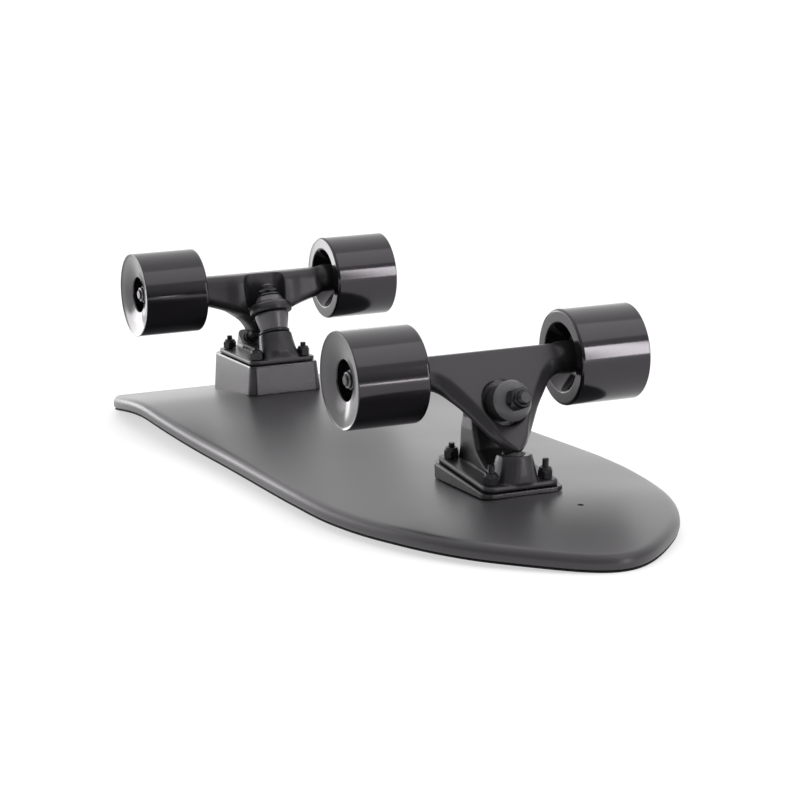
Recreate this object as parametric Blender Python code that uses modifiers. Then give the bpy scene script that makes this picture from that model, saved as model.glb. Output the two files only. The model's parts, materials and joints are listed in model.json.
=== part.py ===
"""Surf-style cruiser skateboard, lying upside down on its nose and its tail.

Sizes are in millimetres and become metres where a mesh is made. Each truck is drawn in its own
frame: the axle's centre is the origin, +X points to the nose, +Y to the right-hand wheel and +Z
away from the deck. The whole board hangs on one empty that tips it until nose and tail rest.
"""
import math

import bmesh
import bpy
from mathutils import Matrix, Vector

MM = 0.001
GAP = 0.3                 # between pieces that touch
WHEELBASE = 437.0

# deck: height of its trucks' side, measured from the front axle
DECK_Z = -81.3
DECK_T = 10.1
GRIP_T = 1.1
NOSE_X = 198.7
TAIL_X = -551.5
NOSE_BEND_X = 57.7
NOSE_DROP = 9.6
NOSE_POWER = 1.78
TAIL_BEND_X = -400.0
TAIL_DROP = 19.3
TAIL_POWER = 1.43
DECK_SLOPE = 0.0088
DISH = 7.8
NOSE_DISH = 5.4           # deeper dish at the nose
DISH_END = TAIL_X + 89.0  # the tail beyond it has no dish
DISH_FADE = 231.0
HALF_WIDTH = 125.7
SPINE = (TAIL_X + 80.0, NOSE_X - 88.7)

# wheels
WHEEL_R = 34.5
WHEEL_W = 54.0
WHEEL_Y = 84.4            # wheel's middle from the board's middle
BEARING_OD_R = 11.0
BEARING_W = 7.0
BEARING_Y = 8.5           # bearing's middle from the wheel's middle
AXLE_R = 4.0
HANGER_END = WHEEL_Y - BEARING_Y - BEARING_W / 2 - GAP

# baseplates and their fasteners
BOLT_X = 31.75
BOLT_Y = 20.65
BOLT_R = 2.4
BOLT_HEAD_R = 4.7
BOLT_HEAD_T = 2.6
NUT_AF = 9.8
NUT_T = 7.4
FLANGE_T = 3.8
FLANGE_L = 82.0
FLANGE_W = 57.0

# kingpins and bushings
KINGPIN_R = 4.75
KINGPIN_AF = 14.3
BUSHING_R = 14.5


def clear_scene():
    for obj in list(bpy.data.objects):
        bpy.data.objects.remove(obj, do_unlink=True)


def collection(name, hidden=False):
    made = bpy.data.collections.new(name)
    bpy.context.scene.collection.children.link(made)
    made.hide_render = hidden
    return made


def material(name, colour, roughness, metallic=0.0):
    made = bpy.data.materials.new(name)
    made.use_nodes = True
    shader = made.node_tree.nodes["Principled BSDF"]
    shader.inputs["Base Color"].default_value = (*colour, 1.0)
    shader.inputs["Roughness"].default_value = roughness
    shader.inputs["Metallic"].default_value = metallic
    made.diffuse_color = (*colour, 1.0)
    return made


def empty(name, parent=None, at=(0, 0, 0), lean=0.0):
    """Empty whose local Z leans from +Z towards +X by `lean` degrees."""
    made = bpy.data.objects.new(name, None)
    PIECES.objects.link(made)
    made.location = Vector(at) * MM
    made.rotation_euler = (0, math.radians(lean), 0)
    made.empty_display_size = 0.02
    hang(made, parent)
    return made


def hang(obj, parent):
    """Parent an object drawn in its truck's frame, also under an empty that leans in that frame."""
    if parent is None:
        return
    obj.parent = parent
    if parent.get("carries_truck_frame"):
        obj.matrix_parent_inverse = parent.matrix_basis.inverted()


def add(name, mesh, mat=None, parent=None):
    obj = bpy.data.objects.new(name, mesh)
    if mat is None:
        CUTTERS.objects.link(obj)
        obj.hide_render = True
        obj.display_type = "WIRE"
    else:
        PIECES.objects.link(obj)
        obj.data.materials.append(mat)
    hang(obj, parent)
    return obj


def closed_mesh(name, verts, faces):
    mesh = bpy.data.meshes.new(name)
    mesh.from_pydata([Vector(v) * MM for v in verts], [], faces)
    work = bmesh.new()
    work.from_mesh(mesh)
    bmesh.ops.remove_doubles(work, verts=work.verts, dist=1e-6)
    bmesh.ops.dissolve_degenerate(work, edges=work.edges, dist=1e-7)
    bmesh.ops.recalc_face_normals(work, faces=work.faces)
    work.to_mesh(mesh)
    work.free()
    return mesh


def loft(name, rings, mat=None, parent=None, closed=False):
    """Skin over rings of equally many points; a closed loft joins its last ring to its first."""
    count = len(rings[0])
    verts = [p for ring in rings for p in ring]
    last = len(rings) if closed else len(rings) - 1
    faces = []
    for i in range(last):
        a = i * count
        b = (i + 1) % len(rings) * count
        for k in range(count):
            n = (k + 1) % count
            faces.append((a + k, a + n, b + n, b + k))
    if not closed:
        faces.append(tuple(reversed(range(count))))
        faces.append(tuple(range(last * count, (last + 1) * count)))
    return add(name, closed_mesh(name, verts, faces), mat, parent)


def turned(name, profile, steps, mat=None, parent=None, at=0.0, ring=False):
    """Profile of (radius, height) turned about local Z, from its top down the outer side."""
    verts = [Vector((r, 0, z)) * MM for r, z in profile]
    edges = [(i, i + 1) for i in range(len(verts) - 1)]
    if ring:
        edges.append((len(verts) - 1, 0))
    mesh = bpy.data.meshes.new(name)
    mesh.from_pydata(verts, edges, [])
    obj = add(name, mesh, mat, parent)
    obj.location.z = at * MM
    screw = obj.modifiers.new("turn", "SCREW")
    screw.steps = steps
    screw.render_steps = steps
    screw.use_merge_vertices = True
    screw.merge_threshold = 0.00001
    return obj


def shape(obj, other, operation):
    step = obj.modifiers.new(other.name, "BOOLEAN")
    step.operation = operation
    step.solver = "EXACT"
    step.object = other


def rounded_box(x0, x1, half_y, radius, per_corner=2, along=0):
    """Anticlockwise outline of a box from x0 to x1 with round corners, mirror-even in y.

    `along` more points on each side that runs along x let it follow a curved neighbour.
    """
    points = []
    corners = ((x1, half_y, 0), (x0, half_y, 90), (x0, -half_y, 180), (x1, -half_y, 270))
    for x, y, start in corners:
        cx = x - math.copysign(radius, x - (x0 + x1) / 2)
        cy = y - math.copysign(radius, y)
        for k in range(per_corner + 1):
            a = math.radians(start + 90 * k / per_corner)
            points.append((cx + radius * math.cos(a), cy + radius * math.sin(a)))
        if start in (0, 180):
            step = (x0 + x1 - 2 * cx) / (along + 1)
            points += [(cx + step * k, y) for k in range(1, along + 1)]
    return points


def inward(outline):
    """Unit vector into the outline at each of its points."""
    made = []
    count = len(outline)
    for i in range(count):
        x0, y0 = outline[i - 1]
        x1, y1 = outline[(i + 1) % count]
        made.append(Vector((y0 - y1, x1 - x0)).normalized())
    return made


def slab(name, outline, lower, upper, rim, rows, spine, mat=None, parent=None):
    """Solid between two heights over an outline.

    `rim` lists (inset, share of the height) from the lower face to the upper; `rows` are the
    shares of the way from the rim in to the spine, which runs along y = 0 between two x. Both
    faces are split along the same diagonals, so stacked slabs keep their gap.
    """
    normals = inward(outline)

    def row(inset, share, way):
        points = []
        for (x, y), n in zip(outline, normals):
            px = x + n.x * inset
            py = y + n.y * inset
            target = min(max(px, spine[0]), spine[1])
            px += (target - px) * way
            py *= 1 - way
            low = lower(px, py)
            points.append((px, py, low + (upper(px, py) - low) * share))
        return points

    rings = [row(rim[0][0], 0, way) for way in reversed(rows)]
    rings += [row(inset, share, 0) for inset, share in rim]
    rings += [row(rim[-1][0], 1, way) for way in rows]
    count = len(outline)
    verts = [p for ring in rings for p in ring]
    faces = []
    for i in range(len(rings) - 1):
        a = i * count
        b = a + count
        for k in range(count):
            n = (k + 1) % count
            if i < len(rows):
                faces += [(a + k, a + n, b + n), (a + k, b + n, b + k)]
            elif i >= len(rings) - 1 - len(rows):
                faces += [(a + k, a + n, b + k), (a + n, b + n, b + k)]
            else:
                faces.append((a + k, a + n, b + n, b + k))
    return add(name, closed_mesh(name, verts, faces), mat, parent)


def smooth_path(knots, per_span):
    """Open path through the knots with a Catmull-Rom curve between them."""
    points = []
    for i in range(len(knots) - 1):
        p1 = Vector(knots[i])
        p2 = Vector(knots[i + 1])
        p0 = Vector(knots[i - 1]) if i else Vector((p2.x, -p2.y))
        p3 = Vector(knots[i + 2]) if i + 2 < len(knots) else p2 * 2 - p1
        for k in range(per_span):
            t = k / per_span
            points.append(tuple(0.5 * (2 * p1 + (p2 - p0) * t + (2 * p0 - 5 * p1 + 4 * p2 - p3) * t * t
                                       + (3 * p1 - p0 - 3 * p2 + p3) * t ** 3)))
    points.append(tuple(knots[-1]))
    return points


def deck_top(x, y):
    """Height of the deck's trucks' side: straight middle, dropped nose, kicked tail, shallow dish."""
    z = DECK_Z - DECK_SLOPE * max(0.0, -28.0 - x)
    z -= NOSE_DROP * (max(0.0, x - NOSE_BEND_X) / (NOSE_X - NOSE_BEND_X)) ** NOSE_POWER
    z -= TAIL_DROP * (max(0.0, TAIL_BEND_X - x) / (TAIL_BEND_X - TAIL_X)) ** TAIL_POWER
    fade = min(1.0, max(0.0, (x - DISH_END) / DISH_FADE))
    deepen = min(1.0, max(0.0, (x + 60.0) / 260.0))
    dish = (DISH + NOSE_DISH * deepen) * fade * fade * (3 - 2 * fade)
    return z - dish * (y / HALF_WIDTH) ** 2


def deck_outline(inset=0.0):
    """Blunt round nose, widest under the front truck, long taper to a straight-cut tail."""
    side = [(NOSE_X, 0), (189.1, 25.6), (159.9, 56.2), (124.6, 82.1), (77.0, 102.6), (13.8, 117.0),
            (-60.0, 122.0), (-230.0, 118.6), (-380.0, 119.2), (TAIL_X + 63.0, 113.6), (TAIL_X + 7.5, 98.0)]
    half = smooth_path(side, 3)
    corner = 7.5
    cx = TAIL_X + corner
    cy = side[-1][1] - corner
    for k in range(1, 4):
        a = math.radians(90 + 30 * k)
        half.append((cx + corner * math.cos(a), cy + corner * math.sin(a)))
    for y in (60.0, 30.0):
        half.append((TAIL_X, y))
    left = [(x, -y) for x, y in reversed(half[1:])]
    outline = half + [(TAIL_X, 0.0)] + left
    if not inset:
        return outline
    return [(x + n.x * inset, y + n.y * inset) for (x, y), n in zip(outline, inward(outline))]


def plane(x0, z0, slope):
    return lambda x, y: z0 + (x - x0) * slope


def hex_nut(name, across_flats, height, collar, bore, sides, mat, parent, place):
    """Hexagon with a locking collar and a plain bore, standing on `place`."""
    flat = across_flats / 2
    bore /= math.cos(math.pi / sides)

    def ring(radius, z, hexagon=False):
        points = []
        for k in range(sides):
            r = radius / math.cos(math.pi / 6) if hexagon and k % (sides // 6) == 0 else radius
            a = 2 * math.pi * k / sides
            points.append((r * math.cos(a), r * math.sin(a), z))
        return points

    body = height - collar
    rings = [ring(bore, 0), ring(flat, 0, True), ring(flat, body * 0.9, True), ring(flat * 0.94, body),
             ring(flat * 0.86, height), ring(bore, height)]
    made = loft(name, rings, mat, parent, closed=True)
    made.matrix_basis = place
    return made


def lean_matrix(at, lean):
    return Matrix.Translation(Vector(at) * MM) @ Matrix.Rotation(math.radians(lean), 4, "Y")


def axle_matrix(y, side=1):
    """Local Z lies along the axle and points to that side's end."""
    turn = Matrix.Rotation(math.radians(-90 * side), 4, "X")
    return Matrix.Translation(Vector((0, y * side, 0)) * MM) @ turn


clear_scene()
PIECES = collection("cruiser")
CUTTERS = collection("cutters", hidden=True)

DECK = material("deck_grey", (0.055, 0.055, 0.060), 0.42)
GRIP = material("grip_black", (0.010, 0.010, 0.011), 0.95)
RISER = material("riser_grey", (0.060, 0.058, 0.062), 0.55)
CAST = material("truck_black", (0.016, 0.015, 0.018), 0.50)
STEEL = material("steel_black", (0.045, 0.045, 0.048), 0.35, 0.8)
NUT = material("nut_grey", (0.220, 0.220, 0.225), 0.35, 0.9)
BUSH = material("bushing_black", (0.030, 0.029, 0.032), 0.38)
BUSH_PALE = material("bushing_grey", (0.110, 0.108, 0.114), 0.40)
CUP = material("cup_black", (0.020, 0.020, 0.021), 0.45)
URETHANE = material("wheel_black", (0.008, 0.008, 0.009), 0.16)
SHIELD = material("bearing_dark", (0.090, 0.090, 0.095), 0.35, 0.8)

board = empty("board")
FRONT = empty("front_truck", board)
REAR = empty("rear_truck", board, (-WHEELBASE, 0, 0))


# Deck and grip

def grip_low(x, y):
    return deck_top(x, y) - DECK_T - GAP - GRIP_T


deck = slab("deck", deck_outline(), lambda x, y: deck_top(x, y) - DECK_T, deck_top,
            [(0.9, 0.0), (0.0, 0.12), (0.0, 0.5), (0.5, 0.74), (1.8, 0.92), (4.4, 1.0)],
            [0.3, 0.65, 1.0], SPINE, DECK, board)
grip = slab("grip_sheet", deck_outline(1.0), grip_low, lambda x, y: grip_low(x, y) + GRIP_T,
            [(0.3, 0.0), (0.0, 0.4), (0.1, 1.0)], [0.3, 0.65, 1.0], SPINE, GRIP, board)

hang_hole = turned("hang_hole_cutter", [(0, 2), (2.3, 2), (2.3, -5.0), (0, -7.0)], 12, parent=board)
hang_hole.location = Vector((95.0, 22.5, deck_top(95.0, 22.5))) * MM
shape(deck, hang_hole, "DIFFERENCE")


def bolt_down(prefix, truck, truck_x, plate_at, plate_lean, stick_out, pieces):
    """Four bolts and nuts: heads flush in the grip, shanks through deck, riser and flange."""
    made = []
    up = Vector((math.sin(math.radians(plate_lean)), 0, math.cos(math.radians(plate_lean))))
    along = Vector((up.z, 0, -up.x))
    number = 0
    for row, step, beyond in (("inner", -1, stick_out[0]), ("outer", 1, stick_out[1])):
        for side, y in (("left", -BOLT_Y), ("right", BOLT_Y)):
            number += 1
            seat = Vector((plate_at[0], y, plate_at[1])) + along * (BOLT_X * step) + up * FLANGE_T
            reach = 0.0
            while (seat - up * reach).z > grip_low(seat.x - up.x * reach + truck_x, y) + 0.5:
                reach += 0.1
            place = lean_matrix(seat, plate_lean)
            end = NUT_T + GAP + beyond
            profile = [(0, end), (BOLT_R - 0.5, end), (BOLT_R, end - 0.7), (BOLT_R, -reach + BOLT_HEAD_T),
                       (BOLT_HEAD_R, -reach + 0.3), (BOLT_HEAD_R, -reach), (0, -reach)]
            bolt = turned(f"{prefix}_bolt_{row}_{side}", profile, 8, STEEL, truck)
            bolt.matrix_basis = place
            room = [(0, end), (BOLT_R + 0.35, end), (BOLT_R + 0.35, -reach + BOLT_HEAD_T + 0.35),
                    (BOLT_HEAD_R + 0.4, -reach + 0.5), (BOLT_HEAD_R + 0.4, -reach - 4), (0, -reach - 4)]
            cutter = turned(f"{prefix}_bolt_room_{number}", room, 8, parent=truck)
            cutter.matrix_basis = place
            for piece in pieces:
                shape(piece, cutter, "DIFFERENCE")
            nut_place = place @ Matrix.Translation((0, 0, GAP * MM))
            made.append(hex_nut(f"{prefix}_nut_{row}_{side}", NUT_AF, NUT_T, 1.8, BOLT_R + GAP, 6, STEEL,
                                truck, nut_place))
    return made


def kingpin_set(prefix, truck, at, lean, head, seats, nut_from, nut_t, tip):
    """Kingpin, its nut and its cup washers, on an empty whose Z is the kingpin's axis."""
    axis = empty(f"{prefix}_kingpin_axis", truck, at, lean)
    profile = [(0, tip), (KINGPIN_R - 1.2, tip), (KINGPIN_R, tip - 1.2), (KINGPIN_R, head + 5.2),
               (8.6, head + 5.2), (8.6, head + 1.0), (7.6, head), (0, head)]
    turned(f"{prefix}_kingpin", profile, 16, STEEL, axis)
    hex_nut(f"{prefix}_kingpin_nut", KINGPIN_AF, nut_t, 3.2, KINGPIN_R + GAP, 12, STEEL, axis,
            Matrix.Translation((0, 0, nut_from * MM)))
    for name, radius, low, rim in seats:
        inner = KINGPIN_R + GAP
        wall = 1.4
        face = low + math.copysign(wall, rim)
        lip = low + rim
        profile = [(inner, low), (radius, low), (radius, lip), (radius - wall, lip), (radius - wall, face),
                   (inner, face)]
        if rim > 0:
            profile.reverse()
        turned(f"{prefix}_{name}", profile, 14, STEEL, axis, ring=True)
    return axis


def bushing(name, axis, low, high, r_low, r_high, mat):
    """Moulded urethane ring with rounded shoulders."""
    bore = KINGPIN_R + GAP
    c = 1.5
    profile = [(bore, high), (r_high - c, high), (r_high, high - c), (r_low, low + c), (r_low - c, low),
               (bore, low)]
    return turned(name, profile, 18, mat, axis, ring=True)


def hanger_loft(name, stations, section, parent):
    """Casting skinned over sections across the board, mirrored about its middle."""
    left = [[(x, -y, z) for x, z in section(y)] for y in reversed(stations) if y > 0]
    right = [[(x, y, z) for x, z in section(y)] for y in stations]
    return loft(name, left + right, CAST, parent)


def between(y, table):
    """Value at y from a table of (y, value) with a smooth step between its rows."""
    for (y0, v0), (y1, v1) in zip(table, table[1:]):
        if y <= y1:
            t = min(1.0, max(0.0, (y - y0) / (y1 - y0)))
            return v0 + (v1 - v0) * t
    return table[-1][1]


def rolled(corners, per_corner=2):
    """Outline of (point, radius) corners in order, each rounded by a short Bezier arc."""
    points = []
    count = len(corners)
    for i, (corner, radius) in enumerate(corners):
        here = Vector(corner)
        before = Vector(corners[i - 1][0]) - here
        after = Vector(corners[(i + 1) % count][0]) - here
        a = here + before.normalized() * min(radius, before.length * 0.45)
        b = here + after.normalized() * min(radius, after.length * 0.45)
        for k in range(per_corner + 1):
            t = k / per_corner
            points.append(tuple(a * (1 - t) ** 2 + here * 2 * t * (1 - t) + b * t * t))
    return points


def blend(a, b, t):
    return [tuple(Vector(p) * (1 - t) + Vector(q) * t) for p, q in zip(a, b)]


def round_section(radius, count, start):
    """Clockwise circle about the axle in (x, z), starting at the given angle."""
    points = []
    for k in range(count):
        a = math.radians(start - 360 * k / count)
        points.append((radius * math.cos(a), radius * math.sin(a)))
    return points


def wheel_set(prefix, steer):
    """Two wheels, each on two bearings, with washer and nut on the axle's ends."""
    axle_end = WHEEL_Y + BEARING_Y + BEARING_W / 2 + 10.6
    axle = turned(f"{prefix}_axle", [(0, axle_end), (AXLE_R - 0.8, axle_end), (AXLE_R, axle_end - 0.8),
                                     (AXLE_R, 0.8 - axle_end), (AXLE_R - 0.8, -axle_end), (0, -axle_end)],
                  16, STEEL, steer)
    axle.matrix_basis = axle_matrix(0)
    half = WHEEL_W / 2
    seat = BEARING_Y + BEARING_W / 2
    rib = BEARING_Y - BEARING_W / 2
    bore = BEARING_OD_R + GAP
    rib_r = BEARING_OD_R - 1.8
    tread = [(WHEEL_R - 0.5, half), (WHEEL_R, half - 0.6), (WHEEL_R, 1.6 - half), (WHEEL_R - 1.9, -half),
             (24.6, -half), (15.2, -seat - 0.4), (bore, -seat - 0.4), (bore, -rib), (rib_r, -rib),
             (rib_r, rib), (bore, rib), (bore, seat), (14.3, seat + 0.4), (14.3, half - 4.4),
             (24.0, half - 2.2), (WHEEL_R - 1.5, half - 0.8)]
    top = BEARING_W / 2
    bearing = [(AXLE_R + GAP, top), (6.0, top - 0.5), (rib_r, top - 0.5), (BEARING_OD_R, top),
               (BEARING_OD_R, -top), (AXLE_R + GAP, -top)]
    inner_bearing = bearing[:1] + bearing[3:]
    for name, side in (("left", -1), ("right", 1)):
        spin = empty(f"{prefix}_{name}_spin", steer)
        spin.matrix_basis = axle_matrix(WHEEL_Y, side)
        turned(f"{prefix}_{name}_wheel", tread, 26, URETHANE, spin, ring=True)
        turned(f"{prefix}_{name}_outer_bearing", bearing, 14, SHIELD, spin, BEARING_Y, ring=True)
        turned(f"{prefix}_{name}_inner_bearing", inner_bearing, 14, SHIELD, spin, -BEARING_Y, ring=True)
        face = WHEEL_Y + seat + GAP
        disc = [(6.4, 1.0), (6.4, 0), (AXLE_R + GAP, 0), (AXLE_R + GAP, 1.0)]
        washer = turned(f"{prefix}_{name}_washer", disc, 12, NUT, steer, ring=True)
        washer.matrix_basis = axle_matrix(face, side)
        hex_nut(f"{prefix}_{name}_axle_nut", 13.0, 7.6, 2.2, AXLE_R + GAP, 6, NUT, steer,
                axle_matrix(face + 1.0 + GAP, side))


def pivot_set(prefix, truck, steer_lean, at, cup_r, nub_r, depth, hanger, plate):
    """Round nub on the hanger in a moulded cup, both turned on the steering axis."""
    place = lean_matrix(at, steer_lean)
    wall = cup_r - nub_r - GAP
    inner = cup_r - wall
    arc = [(math.cos(math.radians(30 * k)), -math.sin(math.radians(30 * k))) for k in range(4)]
    outside = [(cup_r, depth)] + [(cup_r * c, cup_r * h) for c, h in arc]
    inside = [(inner, depth)] + [(inner * c, inner * h) for c, h in arc]
    cup = turned(f"{prefix}_pivot_cup", list(reversed(inside)) + outside, 14, CUP, truck)
    cup.matrix_basis = place
    room_r = cup_r + GAP
    room = [(0, 40), (room_r, 40), (room_r, 0), (room_r * 0.866, -room_r * 0.5),
            (room_r * 0.5, -room_r * 0.866), (0, -room_r)]
    cutter = turned(f"{prefix}_pivot_room", room, 18, parent=truck)
    cutter.matrix_basis = place
    shape(plate, cutter, "DIFFERENCE")
    over = [(0, depth + 0.7), (cup_r + 1.2, depth + 0.7), (cup_r + 1.2, -12), (0, -12)]
    clear = turned(f"{prefix}_cup_clearance", over, 18, parent=hanger.parent)
    clear.matrix_basis = place
    shape(hanger, clear, "DIFFERENCE")
    nub = [(0, 20), (nub_r + 2.6, 20), (nub_r + 1.4, 12.5), (nub_r, depth + 0.6), (nub_r, 0)]
    nub += [(nub_r * c, nub_r * h) for c, h in arc[1:]]
    tool = turned(f"{prefix}_pivot_nub", nub, 18, parent=hanger.parent)
    tool.matrix_basis = place
    shape(hanger, tool, "UNION")


# Front truck: the kingpin lies almost along the deck and the pivot is at the nose end

FRONT_PLATE = (14.4, -73.3)
FRONT_LEAN = 6.0
FRONT_KINGPIN = (28.2, -21.6)
FRONT_KINGPIN_LEAN = 73.9
FRONT_SEAT = -6.2
FRONT_RING_T = 9.8
FRONT_PIVOT = (44.8, -61.0)

ring_x = FRONT_KINGPIN[0] + math.sin(math.radians(FRONT_KINGPIN_LEAN)) * (FRONT_SEAT - FRONT_RING_T / 2)
ring_z = FRONT_KINGPIN[1] + math.cos(math.radians(FRONT_KINGPIN_LEAN)) * (FRONT_SEAT - FRONT_RING_T / 2)
FRONT_STEER_LEAN = math.degrees(math.atan2(ring_x - FRONT_PIVOT[0], ring_z - FRONT_PIVOT[1]))
front_steer = empty("front_steer", FRONT, (FRONT_PIVOT[0], 0, FRONT_PIVOT[1]), FRONT_STEER_LEAN)
front_steer["carries_truck_frame"] = True

slope = -math.tan(math.radians(FRONT_LEAN))
plate_low = plane(FRONT_PLATE[0], FRONT_PLATE[1], slope)
front_riser = slab("front_riser", rounded_box(FRONT_PLATE[0] - 43.0, FRONT_PLATE[0] + 43.0, 31, 7, 3),
                   lambda x, y: deck_top(x, 0) + GAP, lambda x, y: plate_low(x, y) - GAP,
                   [(0, 0), (0, 0.85), (0.7, 1)], [1.0], (0, 28), RISER, FRONT)


def flange_outline(x):
    return rounded_box(x - FLANGE_L / 2, x + FLANGE_L / 2, FLANGE_W / 2, 6.5, 3)


front_plate = slab("front_baseplate", flange_outline(FRONT_PLATE[0]),
                   plate_low, lambda x, y: plate_low(x, y) + FLANGE_T,
                   [(0.6, 0), (0, 0.2), (0, 0.8), (0.7, 1)], [1.0], (0, 28), CAST, FRONT)


def level_ring(x0, x1, half_y, radius, z, slope=0.0):
    return [(x, y, z + (x - FRONT_PLATE[0]) * slope) for x, y in rounded_box(x0, x1, half_y, radius)]


pad_low = level_ring(-17, 50, 15.2, 6, -71.2, slope)
pad_top = level_ring(-16, 49, 14.8, 6, -65.6, slope)
pad = loft("front_pad", [pad_low, pad_top], parent=FRONT)
post = loft("front_post", [level_ring(-20, 31, 15.3, 4, -68.5), level_ring(-18.0, 21.0, 15.2, 4, -62.5),
                           level_ring(-16.8, 13.0, 15.0, 4, -56.5), level_ring(-15.8, 8.2, 14.6, 4, -44),
                           level_ring(-14.0, 1.0, 12.0, 4, -27)], parent=FRONT)
boss = loft("front_pivot_boss",
            [level_ring(28.0, 55.4, 15.2, 8, -73.5), level_ring(30.5, 55.8, 14.2, 7, -68.0),
             level_ring(32.0, 55.8, 13.2, 7, -58.0), level_ring(33.0, 54.8, 12.2, 6, -55.0)], parent=FRONT)
front_axis = kingpin_set("front", FRONT, (FRONT_KINGPIN[0], 0, FRONT_KINGPIN[1]), FRONT_KINGPIN_LEAN, -47.4,
                         [("upper_cup_washer", 14.6, 17.0, -3.2), ("lower_cup_washer", 14.6, -28.0, 3.2)],
                         17.3, 13.0, 33.8)
ear = turned("front_post_ear", [(0, -27.0), (14.0, -27.0), (14.0, -40.6), (12.8, -42.0), (0, -42.0)], 24,
             parent=front_axis)
for part in (pad, post, boss, ear):
    shape(front_plate, part, "UNION")
seat_room = turned("front_seat_room", [(0, 10), (15.6, 10), (15.6, -28.3), (KINGPIN_R + GAP, -28.3),
                                       (KINGPIN_R + GAP, -41.9), (9.0, -41.9), (9.0, -60), (0, -60)], 22,
                   parent=front_axis)
shape(front_plate, seat_room, "DIFFERENCE")

# the facet of the front hanger: k is depth along its normal, s runs up it from the axle
FACET = math.radians(35.6)
FACET_K = 10.4


def facet_point(k, s):
    return (k * math.cos(FACET) - s * math.sin(FACET), k * math.sin(FACET) + s * math.cos(FACET))


def front_section(y):
    """Beam near the wheels, growing into a triangular web whose tip covers the pivot."""
    web = between(y, [(0, -72.0), (3.5, -70.8), (8.0, -67.0), (14.0, -60.5), (19.0, -52.5), (27.0, -39.5),
                      (34.5, -29.5), (43.5, -18.5), (52.0, -13.5), (60.0, -11.5)])
    face = between(y, [(0, -71.0), (3.0, -68.5), (9.5, -60.0), (14.5, -47.0), (22.0, -32.5), (30.0, -20.0),
                       (38.0, -10.5), (46.0, -6.5), (60.0, -6.0)])
    heel = between(y, [(0, -56.0), (8.0, -50.0), (12.0, -44.0), (17.7, -35.0), (24.0, -25.5), (32.6, -16.0),
                       (41.6, -10.5), (60.0, -8.0)])
    corners = [(facet_point(FACET_K, 6.6), 2.5), (facet_point(FACET_K, face), 2.5),
               (facet_point(4.5, web), 6.0), (facet_point(-11.0, heel), 5.0),
               (facet_point(-11.0, 1.0), 5.0), (facet_point(0.5, 11.2), 4.0)]
    cast = rolled(corners)
    ends = round_section(11.6, len(cast), 35.6 + 48)
    return blend(cast, ends, min(1.0, max(0.0, (y - 50.0) / 8.0)))


stations = [0, 3.5, 8, 14, 20, 27, 34.5, 43, 50, 54, 58, HANGER_END - 1.4]
front_hanger = hanger_loft("front_hanger", stations, front_section, front_steer)
END_BOSS = [(0, HANGER_END), (8.0, HANGER_END), (9.6, HANGER_END - 2.5), (9.6, 2.5 - HANGER_END),
            (8.0, -HANGER_END), (0, -HANGER_END)]
AXLE_BORE = [(0, 90), (AXLE_R + GAP, 90), (AXLE_R + GAP, -90), (0, -90)]
front_ends = turned("front_hanger_ends", END_BOSS, 20, parent=front_steer)
front_ends.matrix_basis = axle_matrix(0)
shape(front_hanger, front_ends, "UNION")
pivot_set("front", FRONT, FRONT_STEER_LEAN, (FRONT_PIVOT[0], 0, FRONT_PIVOT[1]), 7.0, 4.6, 5.6,
          front_hanger, front_plate)
ring_low = FRONT_SEAT - FRONT_RING_T
front_room = turned("front_kingpin_room", [(0, 60), (16.6, 60), (16.6, FRONT_SEAT), (6.9, FRONT_SEAT),
                                           (6.9, ring_low), (17.5, ring_low), (19.5, -50), (0, -50)],
                    22, parent=front_axis)
shape(front_hanger, front_room, "DIFFERENCE")
axle_bore = turned("front_axle_bore", AXLE_BORE, 16, parent=front_steer)
axle_bore.matrix_basis = axle_matrix(0)
shape(front_hanger, axle_bore, "DIFFERENCE")
bushing("front_road_bushing", front_axis, FRONT_SEAT + GAP, 17.0 - 1.4 - GAP,
        BUSHING_R - 1.9, BUSHING_R - 1.9, BUSH)
bushing("front_board_bushing", front_axis, -28.0 + 1.4 + GAP, FRONT_SEAT - FRONT_RING_T - GAP,
        BUSHING_R - 1.9, BUSHING_R - 1.0, BUSH)
wheel_set("front", front_steer)

# Rear truck: the kingpin stands up behind the axle's inner side and the pivot is at the tail end

REAR_PLATE = (10.0, -60.0)
REAR_KINGPIN = (24.9, -21.4)
REAR_KINGPIN_LEAN = -22.0
REAR_RING_T = 8.0
REAR_PIVOT = (-24.5, -51.0)

ring_x = REAR_KINGPIN[0] + math.sin(math.radians(REAR_KINGPIN_LEAN)) * REAR_RING_T / 2
ring_z = REAR_KINGPIN[1] + math.cos(math.radians(REAR_KINGPIN_LEAN)) * REAR_RING_T / 2
REAR_STEER_LEAN = math.degrees(math.atan2(ring_x - REAR_PIVOT[0], ring_z - REAR_PIVOT[1]))
rear_steer = empty("rear_steer", REAR, (REAR_PIVOT[0], 0, REAR_PIVOT[1]), REAR_STEER_LEAN)
rear_steer["carries_truck_frame"] = True

riser_outline = rounded_box(-34.6, 51.5, 31.4, 7, 3, along=5)


def rear_riser_ring(grow, z):
    """Riser wall at one height; None lays it on the kicked deck."""
    points = []
    for x, y in riser_outline:
        px = 9.0 + (x - 9.0) * (1 + grow * 3.2 / 42)
        py = y * (1 + grow * 0.03)
        points.append((px, py, z if z is not None else deck_top(px - WHEELBASE, 0) + GAP))
    return points


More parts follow.
